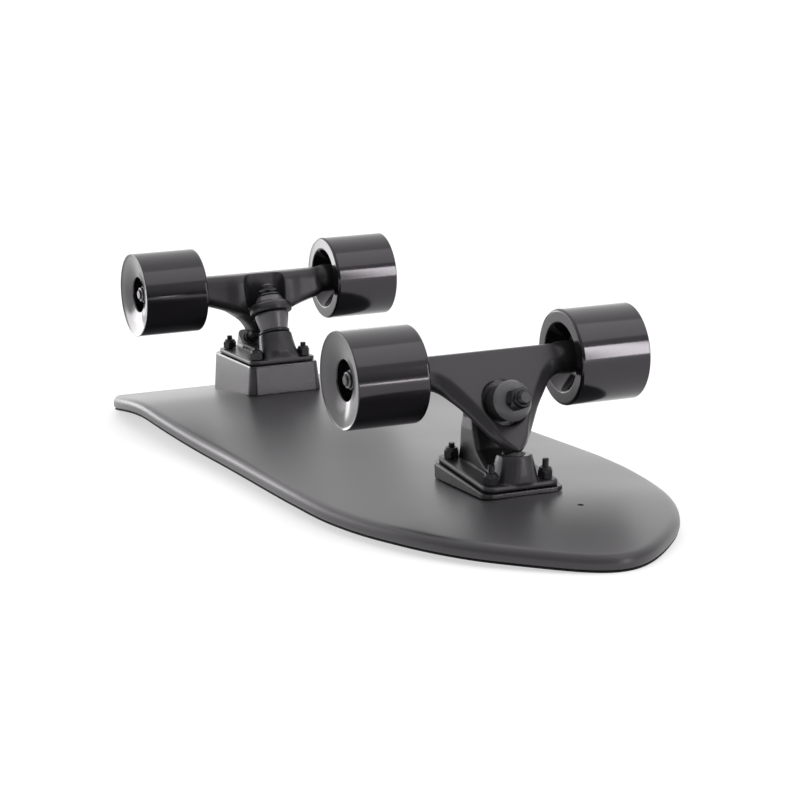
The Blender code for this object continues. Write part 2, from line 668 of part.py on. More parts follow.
rear_riser = slab("rear_riser", [(x, y) for x, y, z in rear_riser_ring(1.0, 0)],
                  lambda x, y: deck_top(x - WHEELBASE, 0) + GAP, lambda x, y: REAR_PLATE[1] - GAP,
                  [(0, 0), (0.3, 0.08), (2.4, 0.94), (3.1, 1)], [0.5, 1.0], (-8, 26), RISER, REAR)
rear_plate = slab("rear_baseplate", flange_outline(REAR_PLATE[0]),
                  plane(0, REAR_PLATE[1], 0), plane(0, REAR_PLATE[1] + FLANGE_T, 0),
                  [(0.6, 0), (0, 0.2), (0, 0.8), (0.7, 1)], [1.0], (-8, 26), CAST, REAR)
rear_axis = kingpin_set("rear", REAR, (REAR_KINGPIN[0], 0, REAR_KINGPIN[1]), REAR_KINGPIN_LEAN, -38.0,
                        [("upper_cup_washer", 10.6, 17.0, -2.4), ("lower_cup_washer", 12.6, -17.6, 2.2)],
                        17.3, 6.0, 24.3)


def flare_ring(t, radius_x, radius_y, level):
    """Section of the kingpin's boss, turning from level at the flange to square at its top."""
    lean = math.radians(REAR_KINGPIN_LEAN) * (1 - level)
    up = Vector((math.sin(math.radians(REAR_KINGPIN_LEAN)), 0, math.cos(math.radians(REAR_KINGPIN_LEAN))))
    centre = Vector((REAR_KINGPIN[0], 0, REAR_KINGPIN[1])) + up * t
    across = Vector((math.cos(lean), 0, -math.sin(lean)))
    front = REAR_PLATE[0] + min(40.1, FLANGE_L / 2 - 0.9)
    side = BOLT_Y - NUT_AF / 2 - 0.5
    points = []
    for k in range(20):
        a = 2 * math.pi * k / 20
        x, y, z = centre + across * (radius_x * math.cos(a))
        points.append((min(x, front), min(max(radius_y * math.sin(a), -side), side), z))
    return points


flare = loft("rear_boss", [flare_ring(-40.2, 19.5, 20.5, 1.0), flare_ring(-37.0, 16.4, 17.8, 1.0),
                           flare_ring(-31.5, 14.2, 15.8, 0.75), flare_ring(-25.0, 12.8, 14.6, 0.4),
                           flare_ring(-18.9, 12.2, 13.8, 0.0), flare_ring(-17.9, 11.4, 13.0, 0.0)],
             parent=REAR)
PAD_ROOT = REAR_PLATE[1] + FLANGE_T / 2 - 0.4
saddle_low = [(x, y, PAD_ROOT) for x, y in rounded_box(REAR_PIVOT[0] - 6.7, -6.0, 13.5, 5)]
saddle_mid = [(x, y, -53.5) for x, y in rounded_box(-33.0, -9.0, 11.5, 5)]
saddle_top = [(x, y, -45.2 - (x + 30.0) * 0.62) for x, y in rounded_box(-33.6, -16.0, 9.6, 5)]
saddle = loft("rear_pivot_boss", [saddle_low, saddle_mid, saddle_top], parent=REAR)
spine_low = [(x, y, PAD_ROOT + 0.5) for x, y in rounded_box(-20, 34, 13.0, 5)]
spine_top = [(x, y, -52.8) for x, y in rounded_box(-18, 32, 11.0, 5)]
rear_pad = loft("rear_pad", [spine_low, spine_top], parent=REAR)
for part in (flare, saddle, rear_pad):
    shape(rear_plate, part, "UNION")
head_room = turned("rear_head_room", [(0, 0), (KINGPIN_R + GAP, 0), (KINGPIN_R + GAP, -32.4),
                                      (8.6 + GAP, -32.4), (8.6 + GAP, -70), (0, -70)], 16, parent=rear_axis)
shape(rear_plate, head_room, "DIFFERENCE")


def rear_section(y):
    """Upright oval beam; towards the middle its tail side runs down to the pivot."""
    low = between(y, [(0, -34.0), (9, -32.0), (14, -28.0), (22, -25.0), (34, -20.3), (48, -16.0),
                      (60, -12.0)])
    inner = between(y, [(0, 13.5), (22, 13.5), (34, 12.0), (60, 10.5)])
    toe = between(y, [(0, -44.5), (6, -43.5), (10, -38.5), (15, -33.0), (24, -26.0), (34, -19.0),
                      (48, -13.2), (60, -10.8)])
    toe_x = between(y, [(0, -21.0), (6, -20.0), (12, -15.5), (20, -11.0), (60, -9.5)])
    corners = [((inner - 4.0, 9.9), 5.0), ((inner, 2.0), 4.0), ((inner - 1.5, low + 5.0), 5.0),
               ((1.0, min(low, toe + 3.5)), 5.0), ((toe_x, toe), 4.0), ((-11.5, 2.0), 6.0),
               ((-6.5, 9.9), 5.0)]
    cast = rolled(corners)
    ends = round_section(11.6, len(cast), 68)
    return blend(cast, ends, min(1.0, max(0.0, (y - 50.0) / 8.0)))


stations = [0, 6, 10, 15, 22, 31, 41, 50, 54, 58, HANGER_END - 1.4]
rear_hanger = hanger_loft("rear_hanger", stations, rear_section, rear_steer)
ring_top = REAR_RING_T
ring = turned("rear_ring", [(0, ring_top), (15.6, ring_top), (17.4, 6.0), (17.8, 3.0), (16.8, -2), (0, -2)],
              22, parent=rear_axis)
rear_ends = turned("rear_hanger_ends", END_BOSS, 20, parent=rear_steer)
rear_ends.matrix_basis = axle_matrix(0)
for part in (ring, rear_ends):
    shape(rear_hanger, part, "UNION")
pivot_set("rear", REAR, REAR_STEER_LEAN, (REAR_PIVOT[0], 0, REAR_PIVOT[1]), 6.6, 4.3, 4.0,
          rear_hanger, rear_plate)


def recess_ring(half_back, half_front, half_mouth, height=None):
    """Plan of the flared notch in the beam; without a height it lies on the kingpin ring's face."""
    centre = Vector((REAR_KINGPIN[0], REAR_KINGPIN[1])) + Vector((ring_up.x, ring_up.z)) * ring_top
    plan = rolled([((5.6, -half_back), 5), ((5.6, half_back), 5), ((14.5, half_front), 2),
                   ((44.0, half_mouth), 2), ((44.0, -half_mouth), 2), ((14.5, -half_front), 2)])
    tilt = math.tan(math.radians(-REAR_KINGPIN_LEAN))
    return [(x, y, height if height is not None else centre.y + (x - centre.x) * tilt) for x, y in plan]


ring_up = Vector((math.sin(math.radians(REAR_KINGPIN_LEAN)), 0, math.cos(math.radians(REAR_KINGPIN_LEAN))))
recess = loft("rear_recess", [recess_ring(13.2, 17.0, 26.0), recess_ring(14.6, 22.0, 46.0, 16.0)],
              parent=rear_steer)
rear_room = turned("rear_kingpin_room", [(0, 18), (6.9, 18), (6.9, 0), (22, 0), (22, -40), (0, -40)], 22,
                   parent=rear_axis)
for cutter in (recess, rear_room):
    shape(rear_hanger, cutter, "DIFFERENCE")
axle_bore = turned("rear_axle_bore", AXLE_BORE, 16, parent=rear_steer)
axle_bore.matrix_basis = axle_matrix(0)
shape(rear_hanger, axle_bore, "DIFFERENCE")
bushing("rear_board_bushing", rear_axis, -17.6 + 1.4 + GAP, -GAP, 10.9, BUSHING_R, BUSH_PALE)
bushing("rear_road_bushing", rear_axis, ring_top + GAP, 17.0 - 1.4 - GAP, 12.4, 8.8, BUSH_PALE)
wheel_set("rear", rear_steer)

bolt_down("front", FRONT, 0.0, FRONT_PLATE, FRONT_LEAN, (3.2, 6.0), (front_plate, front_riser, deck, grip))
bolt_down("rear", REAR, -WHEELBASE, REAR_PLATE, 0.0, (3.2, 3.2), (rear_plate, rear_riser, deck, grip))


# Every piece keeps its finished mesh, and the board settles on the grip side of nose and tail

def bake(obj, graph):
    mesh = bpy.data.meshes.new_from_object(obj.evaluated_get(graph))
    work = bmesh.new()
    work.from_mesh(mesh)
    bmesh.ops.remove_doubles(work, verts=work.verts, dist=2e-6)
    bmesh.ops.dissolve_degenerate(work, edges=work.edges, dist=1e-6)
    work.to_mesh(mesh)
    work.free()
    obj.modifiers.clear()
    obj.data = mesh
    mesh.name = obj.name
    mesh.shade_smooth()
    mesh.set_sharp_from_angle(angle=math.radians(38))


bpy.context.view_layer.update()
graph = bpy.context.evaluated_depsgraph_get()
for piece in [o for o in PIECES.objects if o.type == "MESH"]:
    bake(piece, graph)

low_nose = min((v.co.z, v.co.x) for v in grip.data.vertices if v.co.x > 0.15)
low_tail = min((v.co.z, v.co.x) for v in grip.data.vertices if v.co.x < -0.5)
pitch = math.atan2(low_nose[0] - low_tail[0], low_nose[1] - low_tail[1])
board.rotation_euler.y = pitch
bpy.context.view_layer.update()
span = [board.matrix_world @ v.co for v in deck.data.vertices]
floor = min((board.matrix_world @ v.co).z for v in grip.data.vertices)
board.location = (-(max(p.x for p in span) + min(p.x for p in span)) / 2, 0, -floor)
bpy.context.view_layer.update()
for obj in PIECES.objects:
    if obj.type == "EMPTY":
        print(obj.name, [round(v, 6) for v in obj.matrix_world.translation],
              [round(v, 6) for v in obj.matrix_world.col[2][:3]])
print("pieces", sum(o.type == "MESH" for o in PIECES.objects), "triangles",
      sum(len(p.vertices) - 2 for o in PIECES.objects if o.type == "MESH" for p in o.data.polygons))
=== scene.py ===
# %% [markdown]
# # A cruiser skateboard, resting upside down
# The board lies on the grip side of its nose and tail, so both trucks and the underside of the
# deck can be seen. This lesson builds every visible piece again in fine detail over the frame
# that the engineering model gives: each new piece takes the place of one solid, and all but the
# bushings move with the same body, so wheels still roll and trucks still steer.

# %% Load the frame
import json
import math

import bmesh
import bpy
from mathutils import Matrix, Vector

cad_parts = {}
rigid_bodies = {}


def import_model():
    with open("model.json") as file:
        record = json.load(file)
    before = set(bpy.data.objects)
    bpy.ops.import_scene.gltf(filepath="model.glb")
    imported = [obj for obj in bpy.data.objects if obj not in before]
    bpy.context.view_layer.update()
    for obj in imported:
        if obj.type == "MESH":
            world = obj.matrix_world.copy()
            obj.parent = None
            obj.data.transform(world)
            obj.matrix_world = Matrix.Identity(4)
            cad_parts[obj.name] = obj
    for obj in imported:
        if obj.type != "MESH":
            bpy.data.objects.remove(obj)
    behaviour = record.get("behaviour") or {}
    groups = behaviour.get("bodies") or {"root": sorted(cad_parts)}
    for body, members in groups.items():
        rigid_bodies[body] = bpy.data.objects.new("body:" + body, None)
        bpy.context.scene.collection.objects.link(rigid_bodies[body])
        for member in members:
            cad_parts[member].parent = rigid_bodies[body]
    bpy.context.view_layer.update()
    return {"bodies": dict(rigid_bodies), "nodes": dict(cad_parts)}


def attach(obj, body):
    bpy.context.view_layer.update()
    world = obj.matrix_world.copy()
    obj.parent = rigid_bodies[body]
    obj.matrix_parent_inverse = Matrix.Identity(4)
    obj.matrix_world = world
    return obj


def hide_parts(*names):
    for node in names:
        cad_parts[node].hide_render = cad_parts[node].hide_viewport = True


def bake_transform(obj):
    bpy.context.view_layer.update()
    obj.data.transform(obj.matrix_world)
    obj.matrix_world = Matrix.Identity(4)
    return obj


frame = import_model()

# %% [markdown]
# ## Where things are
# All sizes below are in millimetres. The deck and the front truck share one frame, whose origin
# is the middle of the front axle; the rear truck has its own. Both are tipped by the small angle
# at which the board comes to rest. A piece is drawn upright in its own frame and is then laid in
# place, which is how a maker would draw it too.

# %% Frames
MM = 0.001
WHEELBASE = 437.0
REST_LEAN = 1.0894
REAR_KINGPIN_AT = Vector((24.9, 0, -21.4))
REAR_KINGPIN_LEAN = -22.0


def moved(x=0.0, y=0.0, z=0.0):
    return Matrix.Translation(Vector((x, y, z)) * MM)


def tilt(lean):
    """Turn that leans Z from upright towards +X by `lean` degrees."""
    return Matrix.Rotation(math.radians(lean), 4, "Y")


BOARD = Matrix.Translation((0.178365, 0.0, 0.105978)) @ tilt(REST_LEAN)
FRONT = BOARD
REAR = Matrix.Translation((-0.258556, 0.0, 0.114286)) @ tilt(REST_LEAN)
FRONT_KINGPIN = FRONT @ moved(28.2, 0, -21.6) @ tilt(73.9)
REAR_KINGPIN = REAR @ moved(*REAR_KINGPIN_AT) @ tilt(REAR_KINGPIN_LEAN)
FRONT_PIVOT = FRONT @ moved(44.8, 0, -61.0) @ tilt(-36.893)
REAR_PIVOT = REAR @ moved(-24.5, 0, -51.0) @ tilt(55.188)


def axle_frame(truck, y, side=1):
    """Z runs along the axle towards that side's end, y millimetres from the board's middle."""
    return truck @ moved(0, y * side, 0) @ Matrix.Rotation(math.radians(-90 * side), 4, "X")


for truck_name, truck in (("front", FRONT), ("rear", REAR)):
    print(truck_name, "axle at", [round(v, 3) for v in truck.translation])

# %% [markdown]
# ## The camera
# The picture was taken with a long lens from a low place beyond the nose and to the left. The
# place, the turn and the lens were solved from the outlines of the wheels and the deck. A long
# lens keeps the two trucks nearly the same size, which is why the board looks compact.

# %% Camera
lens = bpy.data.cameras.new("camera")
camera = bpy.data.objects.new("camera", lens)
bpy.context.scene.collection.objects.link(camera)
camera.matrix_world = Matrix((
    (0.406447, -0.149524, 0.901357, 1.845508),
    (0.913067, 0.102429, -0.394736, -0.796482),
    (-0.033302, 0.983438, 0.178157, 0.417831),
    (0.0, 0.0, 0.0, 1.0)))
lens.sensor_width = 36.0
lens.lens = 121.38
lens.clip_end = 20.0
bpy.context.scene.camera = camera
print("lens", round(lens.lens, 1), "mm")

# %% [markdown]
# ## Tools of the workshop
# Nearly every hard piece of a skateboard is turned, cast or stamped. Turned pieces are a profile
# spun about an axis. Castings are skins over a row of sections, joined and cut with Booleans and
# then softened the way a mould and a powder coat soften metal: the solid is rebuilt from small
# cells and relaxed a little, so that every inner corner gets a fillet and every edge a radius.

# %% Turned pieces
MERGE = 2e-6  # metres
ON_AXIS = 1e-6  # millimetres


def unselect():
    bpy.ops.object.select_all(action="DESELECT")


def take(obj):
    """Make this the one selected and active object."""
    unselect()
    obj.select_set(True)
    bpy.context.view_layer.objects.active = obj


def lay(obj, place):
    """Lay a piece drawn about the origin in its place, and keep the place in its mesh."""
    take(obj)
    obj.matrix_world = place
    bpy.ops.object.transform_apply(location=True, rotation=True, scale=True)
    return obj


def discard(*used):
    for obj in used:
        bpy.data.objects.remove(obj, do_unlink=True)


def sew():
    """Merge the points that lie together, turn the faces outwards and leave Edit Mode."""
    bpy.ops.mesh.select_all(action="SELECT")
    bpy.ops.mesh.remove_doubles(threshold=MERGE)
    bpy.ops.mesh.normals_make_consistent(inside=False)
    bpy.ops.object.mode_set(mode="OBJECT")


def rolled(corners, per_corner=3, ring=True):
    """Line through ((a, b), radius) corners in order, each rounded by a short arc."""
    points = []
    count = len(corners)
    for i, (corner, radius) in enumerate(corners):
        here = Vector(corner)
        if radius == 0 or (not ring and i in (0, count - 1)):
            points.append(tuple(here))
            continue
        before = Vector(corners[i - 1][0]) - here
        after = Vector(corners[(i + 1) % count][0]) - here
        a = here + before.normalized() * min(radius, before.length * 0.48)
        b = here + after.normalized() * min(radius, after.length * 0.48)
        for k in range(per_corner + 1):
            t = k / per_corner
            points.append(tuple(a * (1 - t) ** 2 + here * 2 * t * (1 - t) + b * t * t))
    return points


def turned(name, corners, steps=64, ring=False, per_corner=3):
    """Spin a profile of ((radius, height), edge radius) corners once round Z.

    One corner of a small plane is kept, extruded along the profile and spun.
    """
    profile = rolled(corners, per_corner, ring)
    if ring:
        profile.append(profile[0])
    unselect()
    bpy.ops.mesh.primitive_plane_add(size=MM)
    obj = bpy.context.object
    obj.name = name
    bpy.ops.object.mode_set(mode="EDIT")
    bpy.ops.mesh.select_all(action="SELECT")
    bpy.ops.mesh.merge(type="CENTER")
    bpy.ops.transform.translate(value=(profile[0][0] * MM, 0, profile[0][1] * MM))
    for (r0, z0), (r1, z1) in zip(profile, profile[1:]):
        step = ((r1 - r0) * MM, 0, (z1 - z0) * MM)
        bpy.ops.mesh.extrude_region_move(TRANSFORM_OT_translate={"value": step})
    bpy.ops.mesh.select_all(action="SELECT")
    bpy.ops.mesh.spin(steps=steps, angle=math.tau, center=(0, 0, 0), axis=(0, 0, 1))
    sew()
    return obj


def tool(name, place, points, steps=64):
    """Turn sharp (radius, height) points into a solid that is joined to a piece or cuts it.

    Its top, and its bottom where the points stop short of the axis, are closed by flat ends.
    """
    profile = [(0, points[0][1])] + points
    if points[-1][0] > ON_AXIS:
        profile.append((0, points[-1][1]))
    return lay(turned(name, [(point, 0) for point in profile], steps), place)


def mirrored(half):
    """Profile whose lower half mirrors the corners of its upper half."""
    return half + [((r, -z), edge) for (r, z), edge in reversed(half)]


test = rolled([((0, 0), 0), ((5, 0), 1), ((5, 5), 1)], ring=False)
print("a test profile has", len(test), "points")

# %% Skins over sections


def spot(vert):
    return tuple(round(c, 8) for c in vert.co)


def skin(name, rings, capped=True):
    """Skin over rings of equally many points in millimetres.

    A circle is laid on the first ring and extruded ring by ring; each new point starts on the
    one that it was extruded from, which tells which point of the next ring it becomes.
    """
    unselect()
    bpy.ops.mesh.primitive_circle_add(vertices=len(rings[0]), radius=1)
    obj = bpy.context.object
    obj.name = name
    bpy.ops.object.mode_set(mode="EDIT")
    bpy.ops.mesh.select_all(action="SELECT")
    work = bmesh.from_edit_mesh(obj.data)
    row = list(work.verts)
    for ring in rings:
        if ring is not rings[0]:
            spots = {spot(v): i for i, v in enumerate(row)}
            bpy.ops.mesh.extrude_region_move()
            work = bmesh.from_edit_mesh(obj.data)
            row = sorted((v for v in work.verts if v.select), key=lambda v: spots[spot(v)])
        for vert, point in zip(row, ring):
            vert.co = Vector(point) * MM
        bmesh.update_edit_mesh(obj.data)
    if capped:
        bpy.ops.mesh.select_all(action="DESELECT")
        bpy.ops.mesh.select_non_manifold()
        bpy.ops.mesh.fill_holes(sides=0)
    sew()
    return obj


def round_box(x0, x1, half_y, radius, per_corner=5):
    """Anticlockwise outline of a box with round corners, from x0 to x1."""
    points = []
    for x, y, start in ((x1, half_y, 0), (x0, half_y, 90), (x0, -half_y, 180), (x1, -half_y, 270)):
        cx = x - math.copysign(radius, x - (x0 + x1) / 2)
        cy = y - math.copysign(radius, y)
        for k in range(per_corner + 1):
            a = math.radians(start + 90 * k / per_corner)
            points.append((cx + radius * math.cos(a), cy + radius * math.sin(a)))
    return points


# %% Joining, cutting and softening
CAST_CELL = 0.6
CAST_KEEP = 0.5


def join_or_cut(obj, others, operation):
    """Boolean with each tool in turn; the tools are used up."""
    for other in others:
        take(obj)
        step = obj.modifiers.new("step", "BOOLEAN")
        step.operation = operation
        step.solver = "EXACT"
        step.object = other
        bpy.ops.object.modifier_apply(modifier=step.name)
        discard(other)


def apply_all(obj):
    take(obj)
    for step in list(obj.modifiers):
        bpy.ops.object.modifier_apply(modifier=step.name)


def cast(obj, rounds):
    """Rebuild a solid from small cells and relax it, as a mould softens edges."""
    remesh = obj.modifiers.new("cells", "REMESH")
    remesh.mode = "VOXEL"
    remesh.voxel_size = CAST_CELL * MM
    relax = obj.modifiers.new("relax", "SMOOTH")
    relax.factor = 0.5
    relax.iterations = rounds
    apply_all(obj)
    thin = obj.modifiers.new("thin", "DECIMATE")
    thin.ratio = CAST_KEEP
    apply_all(obj)
    bpy.ops.object.shade_smooth()


def edged(obj, width):
    """Round the sharp edges by a bevel of `width` millimetres."""
    bevel = obj.modifiers.new("edges", "BEVEL")
    bevel.width = width * MM
    bevel.segments = 2
    bevel.limit_method = "ANGLE"
    bevel.angle_limit = math.radians(28)
    bevel.harden_normals = False
    apply_all(obj)
    return smooth(obj, 32)


def smooth(obj, angle, weigh=True):
    """Smooth shading up to an angle; big faces keep their own normal, so flat walls look flat."""
    take(obj)
    bpy.ops.object.shade_smooth_by_angle(angle=math.radians(angle))
    if weigh:
        weights = obj.modifiers.new("weights", "WEIGHTED_NORMAL")
        weights.keep_sharp = True
        apply_all(obj)
    return obj


MADE = []


def stand_for(obj, node, finish_used, ride=True):
    """Name the new piece for the solid that it takes the place of, and let it ride with it."""
    obj.name = node + "_fine"
    obj.data.name = obj.name
    obj.data.materials.clear()
    obj.data.materials.append(finish_used)
    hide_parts(node)
    if ride:
        carrier = frame["nodes"][node].parent
        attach(obj, next(name for name, body in frame["bodies"].items() if body == carrier))
    MADE.append(obj)


def copy_of(obj, place):
    """Another of the same piece, with its own mesh, in its place."""
    twin = bpy.data.objects.new(obj.name, obj.data.copy())
    bpy.context.scene.collection.objects.link(twin)
    return lay(twin, place)


print("tools ready")

# %% [markdown]
# ## Finishes
# The whole board is dark, so the finishes are told apart by how they shine, and not by colour.
# The deck is painted satin grey, the castings have a powder coat with a fine orange peel, the
# wheels are poured urethane with a deep gloss, and the fasteners are blackened steel. Every
# pattern reads Object coordinates in metres, so it stays at its real size.

# %% A finish from noise


def feed(node, inputs):
    """Set a node's inputs to plain values, or link them to other nodes' outputs."""
    for name, value in inputs.items():
        if isinstance(value, bpy.types.NodeSocket):
            node.id_data.links.new(value, node.inputs[name])
        else:
            node.inputs[name].default_value = value


def output(tree, kind, inputs, which=0, **settings):
    """Add a shader node of a kind with its settings and inputs, and give one of its outputs."""
    node = tree.nodes.new("ShaderNode" + kind)
    for name, value in settings.items():
        setattr(node, name, value)
    feed(node, inputs)
    return node.outputs[which]


def finish(name, slot, dark, light, rough, spread, grain, bump,
           metallic=0.0, specular=0.5, blotch=12.0):
    """Principled material whose colour drifts from dark to light and whose shine drifts too.

    `grain` is how many grains there are to a metre and `bump` how high they are in metres.
    """
    made = bpy.data.materials.new(name)
    made["slot"] = slot
    made.use_nodes = True
    tree = made.node_tree
    where = output(tree, "TexCoord", {}, "Object")
    clouds = output(tree, "TexNoise", {"Vector": where, "Scale": blotch, "Detail": 5.0}, "Fac")
    speck = output(tree, "TexNoise", {"Vector": where, "Scale": grain, "Detail": 2.0}, "Fac")
    tint = output(tree, "Mix", {"Factor": clouds, "A": (*dark, 1), "B": (*light, 1)}, "Result",
                  data_type="RGBA")
    shine = output(tree, "MapRange", {"Value": clouds, "To Min": rough - spread,
                                      "To Max": rough + spread}, "Result")
    relief = output(tree, "Bump", {"Height": speck, "Strength": 1.0, "Distance": bump}, "Normal")
    feed(tree.nodes["Principled BSDF"], {
        "Base Color": tint, "Roughness": shine, "Normal": relief, "Metallic": metallic,
        "Specular IOR Level": specular, "Specular Tint": (1.0, 0.94, 1.0, 1)})
    return made


deck_paint = finish(
    "deck_paint", "deck_grey", (0.0330, 0.0318, 0.0336), (0.0400, 0.0386, 0.0406),
    rough=0.36, spread=0.04, grain=900, bump=0.00002)
grip_grit = finish(
    "grip_grit", "grip_black", (0.004, 0.004, 0.004), (0.014, 0.014, 0.015),
    rough=0.92, spread=0.05, grain=1400, bump=0.0004)
riser_rubber = finish(
    "riser_rubber", "riser_grey", (0.0080, 0.0077, 0.0083), (0.0130, 0.0125, 0.0134),
    rough=0.24, spread=0.10, grain=90, bump=0.00012, specular=0.7, blotch=45.0)
powder_coat = finish(
    "powder_coat", "truck_black", (0.0150, 0.0144, 0.0154), (0.0205, 0.0197, 0.0210),
    rough=0.33, spread=0.05, grain=1100, bump=0.00004)
black_steel = finish(
    "black_steel", "steel_black", (0.012, 0.012, 0.013), (0.022, 0.022, 0.024),
    rough=0.30, spread=0.07, grain=1200, bump=0.00002, metallic=0.3)
nut_steel = finish(
    "nut_steel", "nut_grey", (0.100, 0.100, 0.104), (0.160, 0.160, 0.165),
    rough=0.32, spread=0.06, grain=900, bump=0.00002, metallic=0.8)
washer_zinc = finish(
    "washer_zinc", "nut_grey", (0.095, 0.093, 0.098), (0.125, 0.123, 0.129),
    rough=0.33, spread=0.05, grain=900, bump=0.00001, specular=0.3)
bushing_urethane = finish(
    "bushing_urethane", "bushing_black", (0.026, 0.0255, 0.027), (0.034, 0.0335, 0.035),
    rough=0.34, spread=0.06, grain=400, bump=0.00004, specular=0.75)
pale_urethane = finish(
    "pale_urethane", "bushing_grey", (0.060, 0.059, 0.063), (0.080, 0.079, 0.083),
    rough=0.32, spread=0.06, grain=400, bump=0.00004, specular=0.9)
cup_plastic = finish(
    "cup_plastic", "cup_black", (0.018, 0.018, 0.019), (0.026, 0.026, 0.027),
    rough=0.40, spread=0.05, grain=500, bump=0.00004)
wheel_urethane = finish(
    "wheel_urethane", "wheel_black", (0.0026, 0.0025, 0.0030), (0.0040, 0.0039, 0.0045),
    rough=0.12, spread=0.02, grain=300, bump=0.000004, specular=0.66)
shield_steel = finish(
    "shield_steel", "bearing_dark", (0.060, 0.060, 0.064), (0.095, 0.095, 0.100),
    rough=0.36, spread=0.08, grain=900, bump=0.00002, metallic=0.8)
print("finishes", [m.name for m in bpy.data.materials if "slot" in m])

# %% [markdown]
# ## The deck
# A real deck is seven sheets of maple pressed in a mould: a shallow dish across, a soft drop at
# the nose and a kick at the tail. The mould's surface is written as a height over the plan. The
# plan's outline is a smooth curve through a few measured points. The skin runs from the middle of
# the grip side out to the rim, round it, and back to the middle of the trucks' side.

# %% The deck's shape
GAP = 0.3
DECK_Z = -81.3
DECK_T = 10.1
GRIP_T = 1.1
DECK_SLOPE = 0.0088
SLOPE_X = -28.0
NOSE_X = 198.7
NOSE_BEND_X = 57.7
NOSE_DROP = 9.6
NOSE_POWER = 1.78
TAIL_X = -551.5
TAIL_BEND_X = -400.0
TAIL_DROP = 19.3
TAIL_POWER = 1.43
DISH = 7.8
DISH_END = TAIL_X + 89.0
DISH_FADE = 231.0
NOSE_DISH = 5.4
NOSE_DISH_X = -60.0
NOSE_DISH_FADE = 260.0
HALF_WIDTH = 125.7
SPINE = (-471.5, 110.0)
TAIL_CORNER = 7.5
CURVE_STEPS = 8


def deck_height(x, y):
    """Height of the trucks' side of the deck above a point of its plan."""
    z = DECK_Z - DECK_SLOPE * max(0.0, SLOPE_X - x)
    z -= NOSE_DROP * (max(0.0, x - NOSE_BEND_X) / (NOSE_X - NOSE_BEND_X)) ** NOSE_POWER
    z -= TAIL_DROP * (max(0.0, TAIL_BEND_X - x) / (TAIL_BEND_X - TAIL_X)) ** TAIL_POWER
    fade = min(1.0, max(0.0, (x - DISH_END) / DISH_FADE))
    deepen = min(1.0, max(0.0, (x - NOSE_DISH_X) / NOSE_DISH_FADE))
    return z - (DISH + NOSE_DISH * deepen) * fade * fade * (3 - 2 * fade) * (y / HALF_WIDTH) ** 2


def through(knots, per_span):
    """Smooth open line through the knots."""
    points = []
    for i in range(len(knots) - 1):
        p1, p2 = Vector(knots[i]), Vector(knots[i + 1])
        p0 = Vector(knots[i - 1]) if i else Vector((p2.x, -p2.y))
        p3 = Vector(knots[i + 2]) if i + 2 < len(knots) else p2 * 2 - p1
        for k in range(per_span):
            t = k / per_span
            bend = 2 * p0 - 5 * p1 + 4 * p2 - p3
            twist = 3 * p1 - p0 - 3 * p2 + p3
            points.append(tuple(0.5 * (2 * p1 + (p2 - p0) * t + bend * t * t + twist * t ** 3)))
    points.append(tuple(knots[-1]))
    return points


def inward(outline):
    """Direction into the plan at each point of an anticlockwise outline."""
    made = []
    for i in range(len(outline)):
        x0, y0 = outline[i - 1]
        x1, y1 = outline[(i + 1) % len(outline)]
        made.append(Vector((y0 - y1, x1 - x0)).normalized())
    return made


def deck_outline(inset=0.0):
    """Blunt round nose, widest under the front truck, long taper to a straight-cut tail."""
    side = [(NOSE_X, 0), (189.1, 25.6), (159.9, 56.2), (124.6, 82.1), (77.0, 102.6), (13.8, 117.0),
            (-60.0, 122.0), (-230.0, 118.6), (-380.0, 119.2), (TAIL_X + 63.0, 113.6),
            (TAIL_X + TAIL_CORNER, 98.0)]
    half = through(side, CURVE_STEPS)
    centre_x, centre_y = TAIL_X + TAIL_CORNER, side[-1][1] - TAIL_CORNER
    for k in range(1, CURVE_STEPS + 1):
        a = math.radians(90 + 90 * k / CURVE_STEPS)
        half.append((centre_x + TAIL_CORNER * math.cos(a), centre_y + TAIL_CORNER * math.sin(a)))
    half += [(TAIL_X, y) for y in (72.0, 54.0, 36.0, 18.0)]
    outline = half + [(TAIL_X, 0.0)] + [(x, -y) for x, y in reversed(half[1:])]
    return [(x + n.x * inset, y + n.y * inset) for (x, y), n in zip(outline, inward(outline))]


def slab(outline, lower, upper, rim, rows):
    """Rings of a solid between two heights over an outline: up from its widest line, and down.

    `rim` lists (inset, share of the height) from the lower face to the upper one, and `rows` the
    shares of the way from the rim in to the spine, where the two sides of the skin meet.
    """
    normals = inward(outline)

    def row(inset, share, way):
        points = []
        for (x, y), n in zip(outline, normals):
            px = x + n.x * inset
            py = y + n.y * inset
            px += (min(max(px, SPINE[0]), SPINE[1]) - px) * way
            py *= 1 - way
            low = lower(px, py)
            points.append((px, py, low + (upper(px, py) - low) * share))
        return points

    widest = min(range(len(rim)), key=lambda i: rim[i][0])
    halves = []
    for edge in (rim[widest:], rim[widest::-1]):
        halves.append([row(*step, 0) for step in edge] + [row(*edge[-1], way) for way in rows])
    return halves


def sheet(name, *args):
    """Skin a slab in two halves from its widest line and sew them together."""
    up, down = slab(*args)
    upper = skin(name, up, capped=False)
    lower = skin(name, down, capped=False)
    take(upper)
    lower.select_set(True)
    bpy.ops.object.join()
    bpy.ops.object.mode_set(mode="EDIT")
    sew()
    return upper


def deck_low(x, y):
    return deck_height(x, y) - DECK_T


DECK_RIM = [(2.2, 0.0), (1.1, 0.035), (0.35, 0.11), (0.0, 0.24), (0.0, 0.48), (0.25, 0.62),
            (0.8, 0.76), (1.8, 0.88), (3.1, 0.955), (4.6, 0.99), (6.4, 1.0)]
WAYS = [0.04, 0.1, 0.18, 0.28, 0.4, 0.52, 0.64, 0.76, 0.88, 1.0]
deck = sheet("deck_skin", deck_outline(), deck_low, deck_height, DECK_RIM, WAYS)
print("deck faces", len(deck.data.polygons))

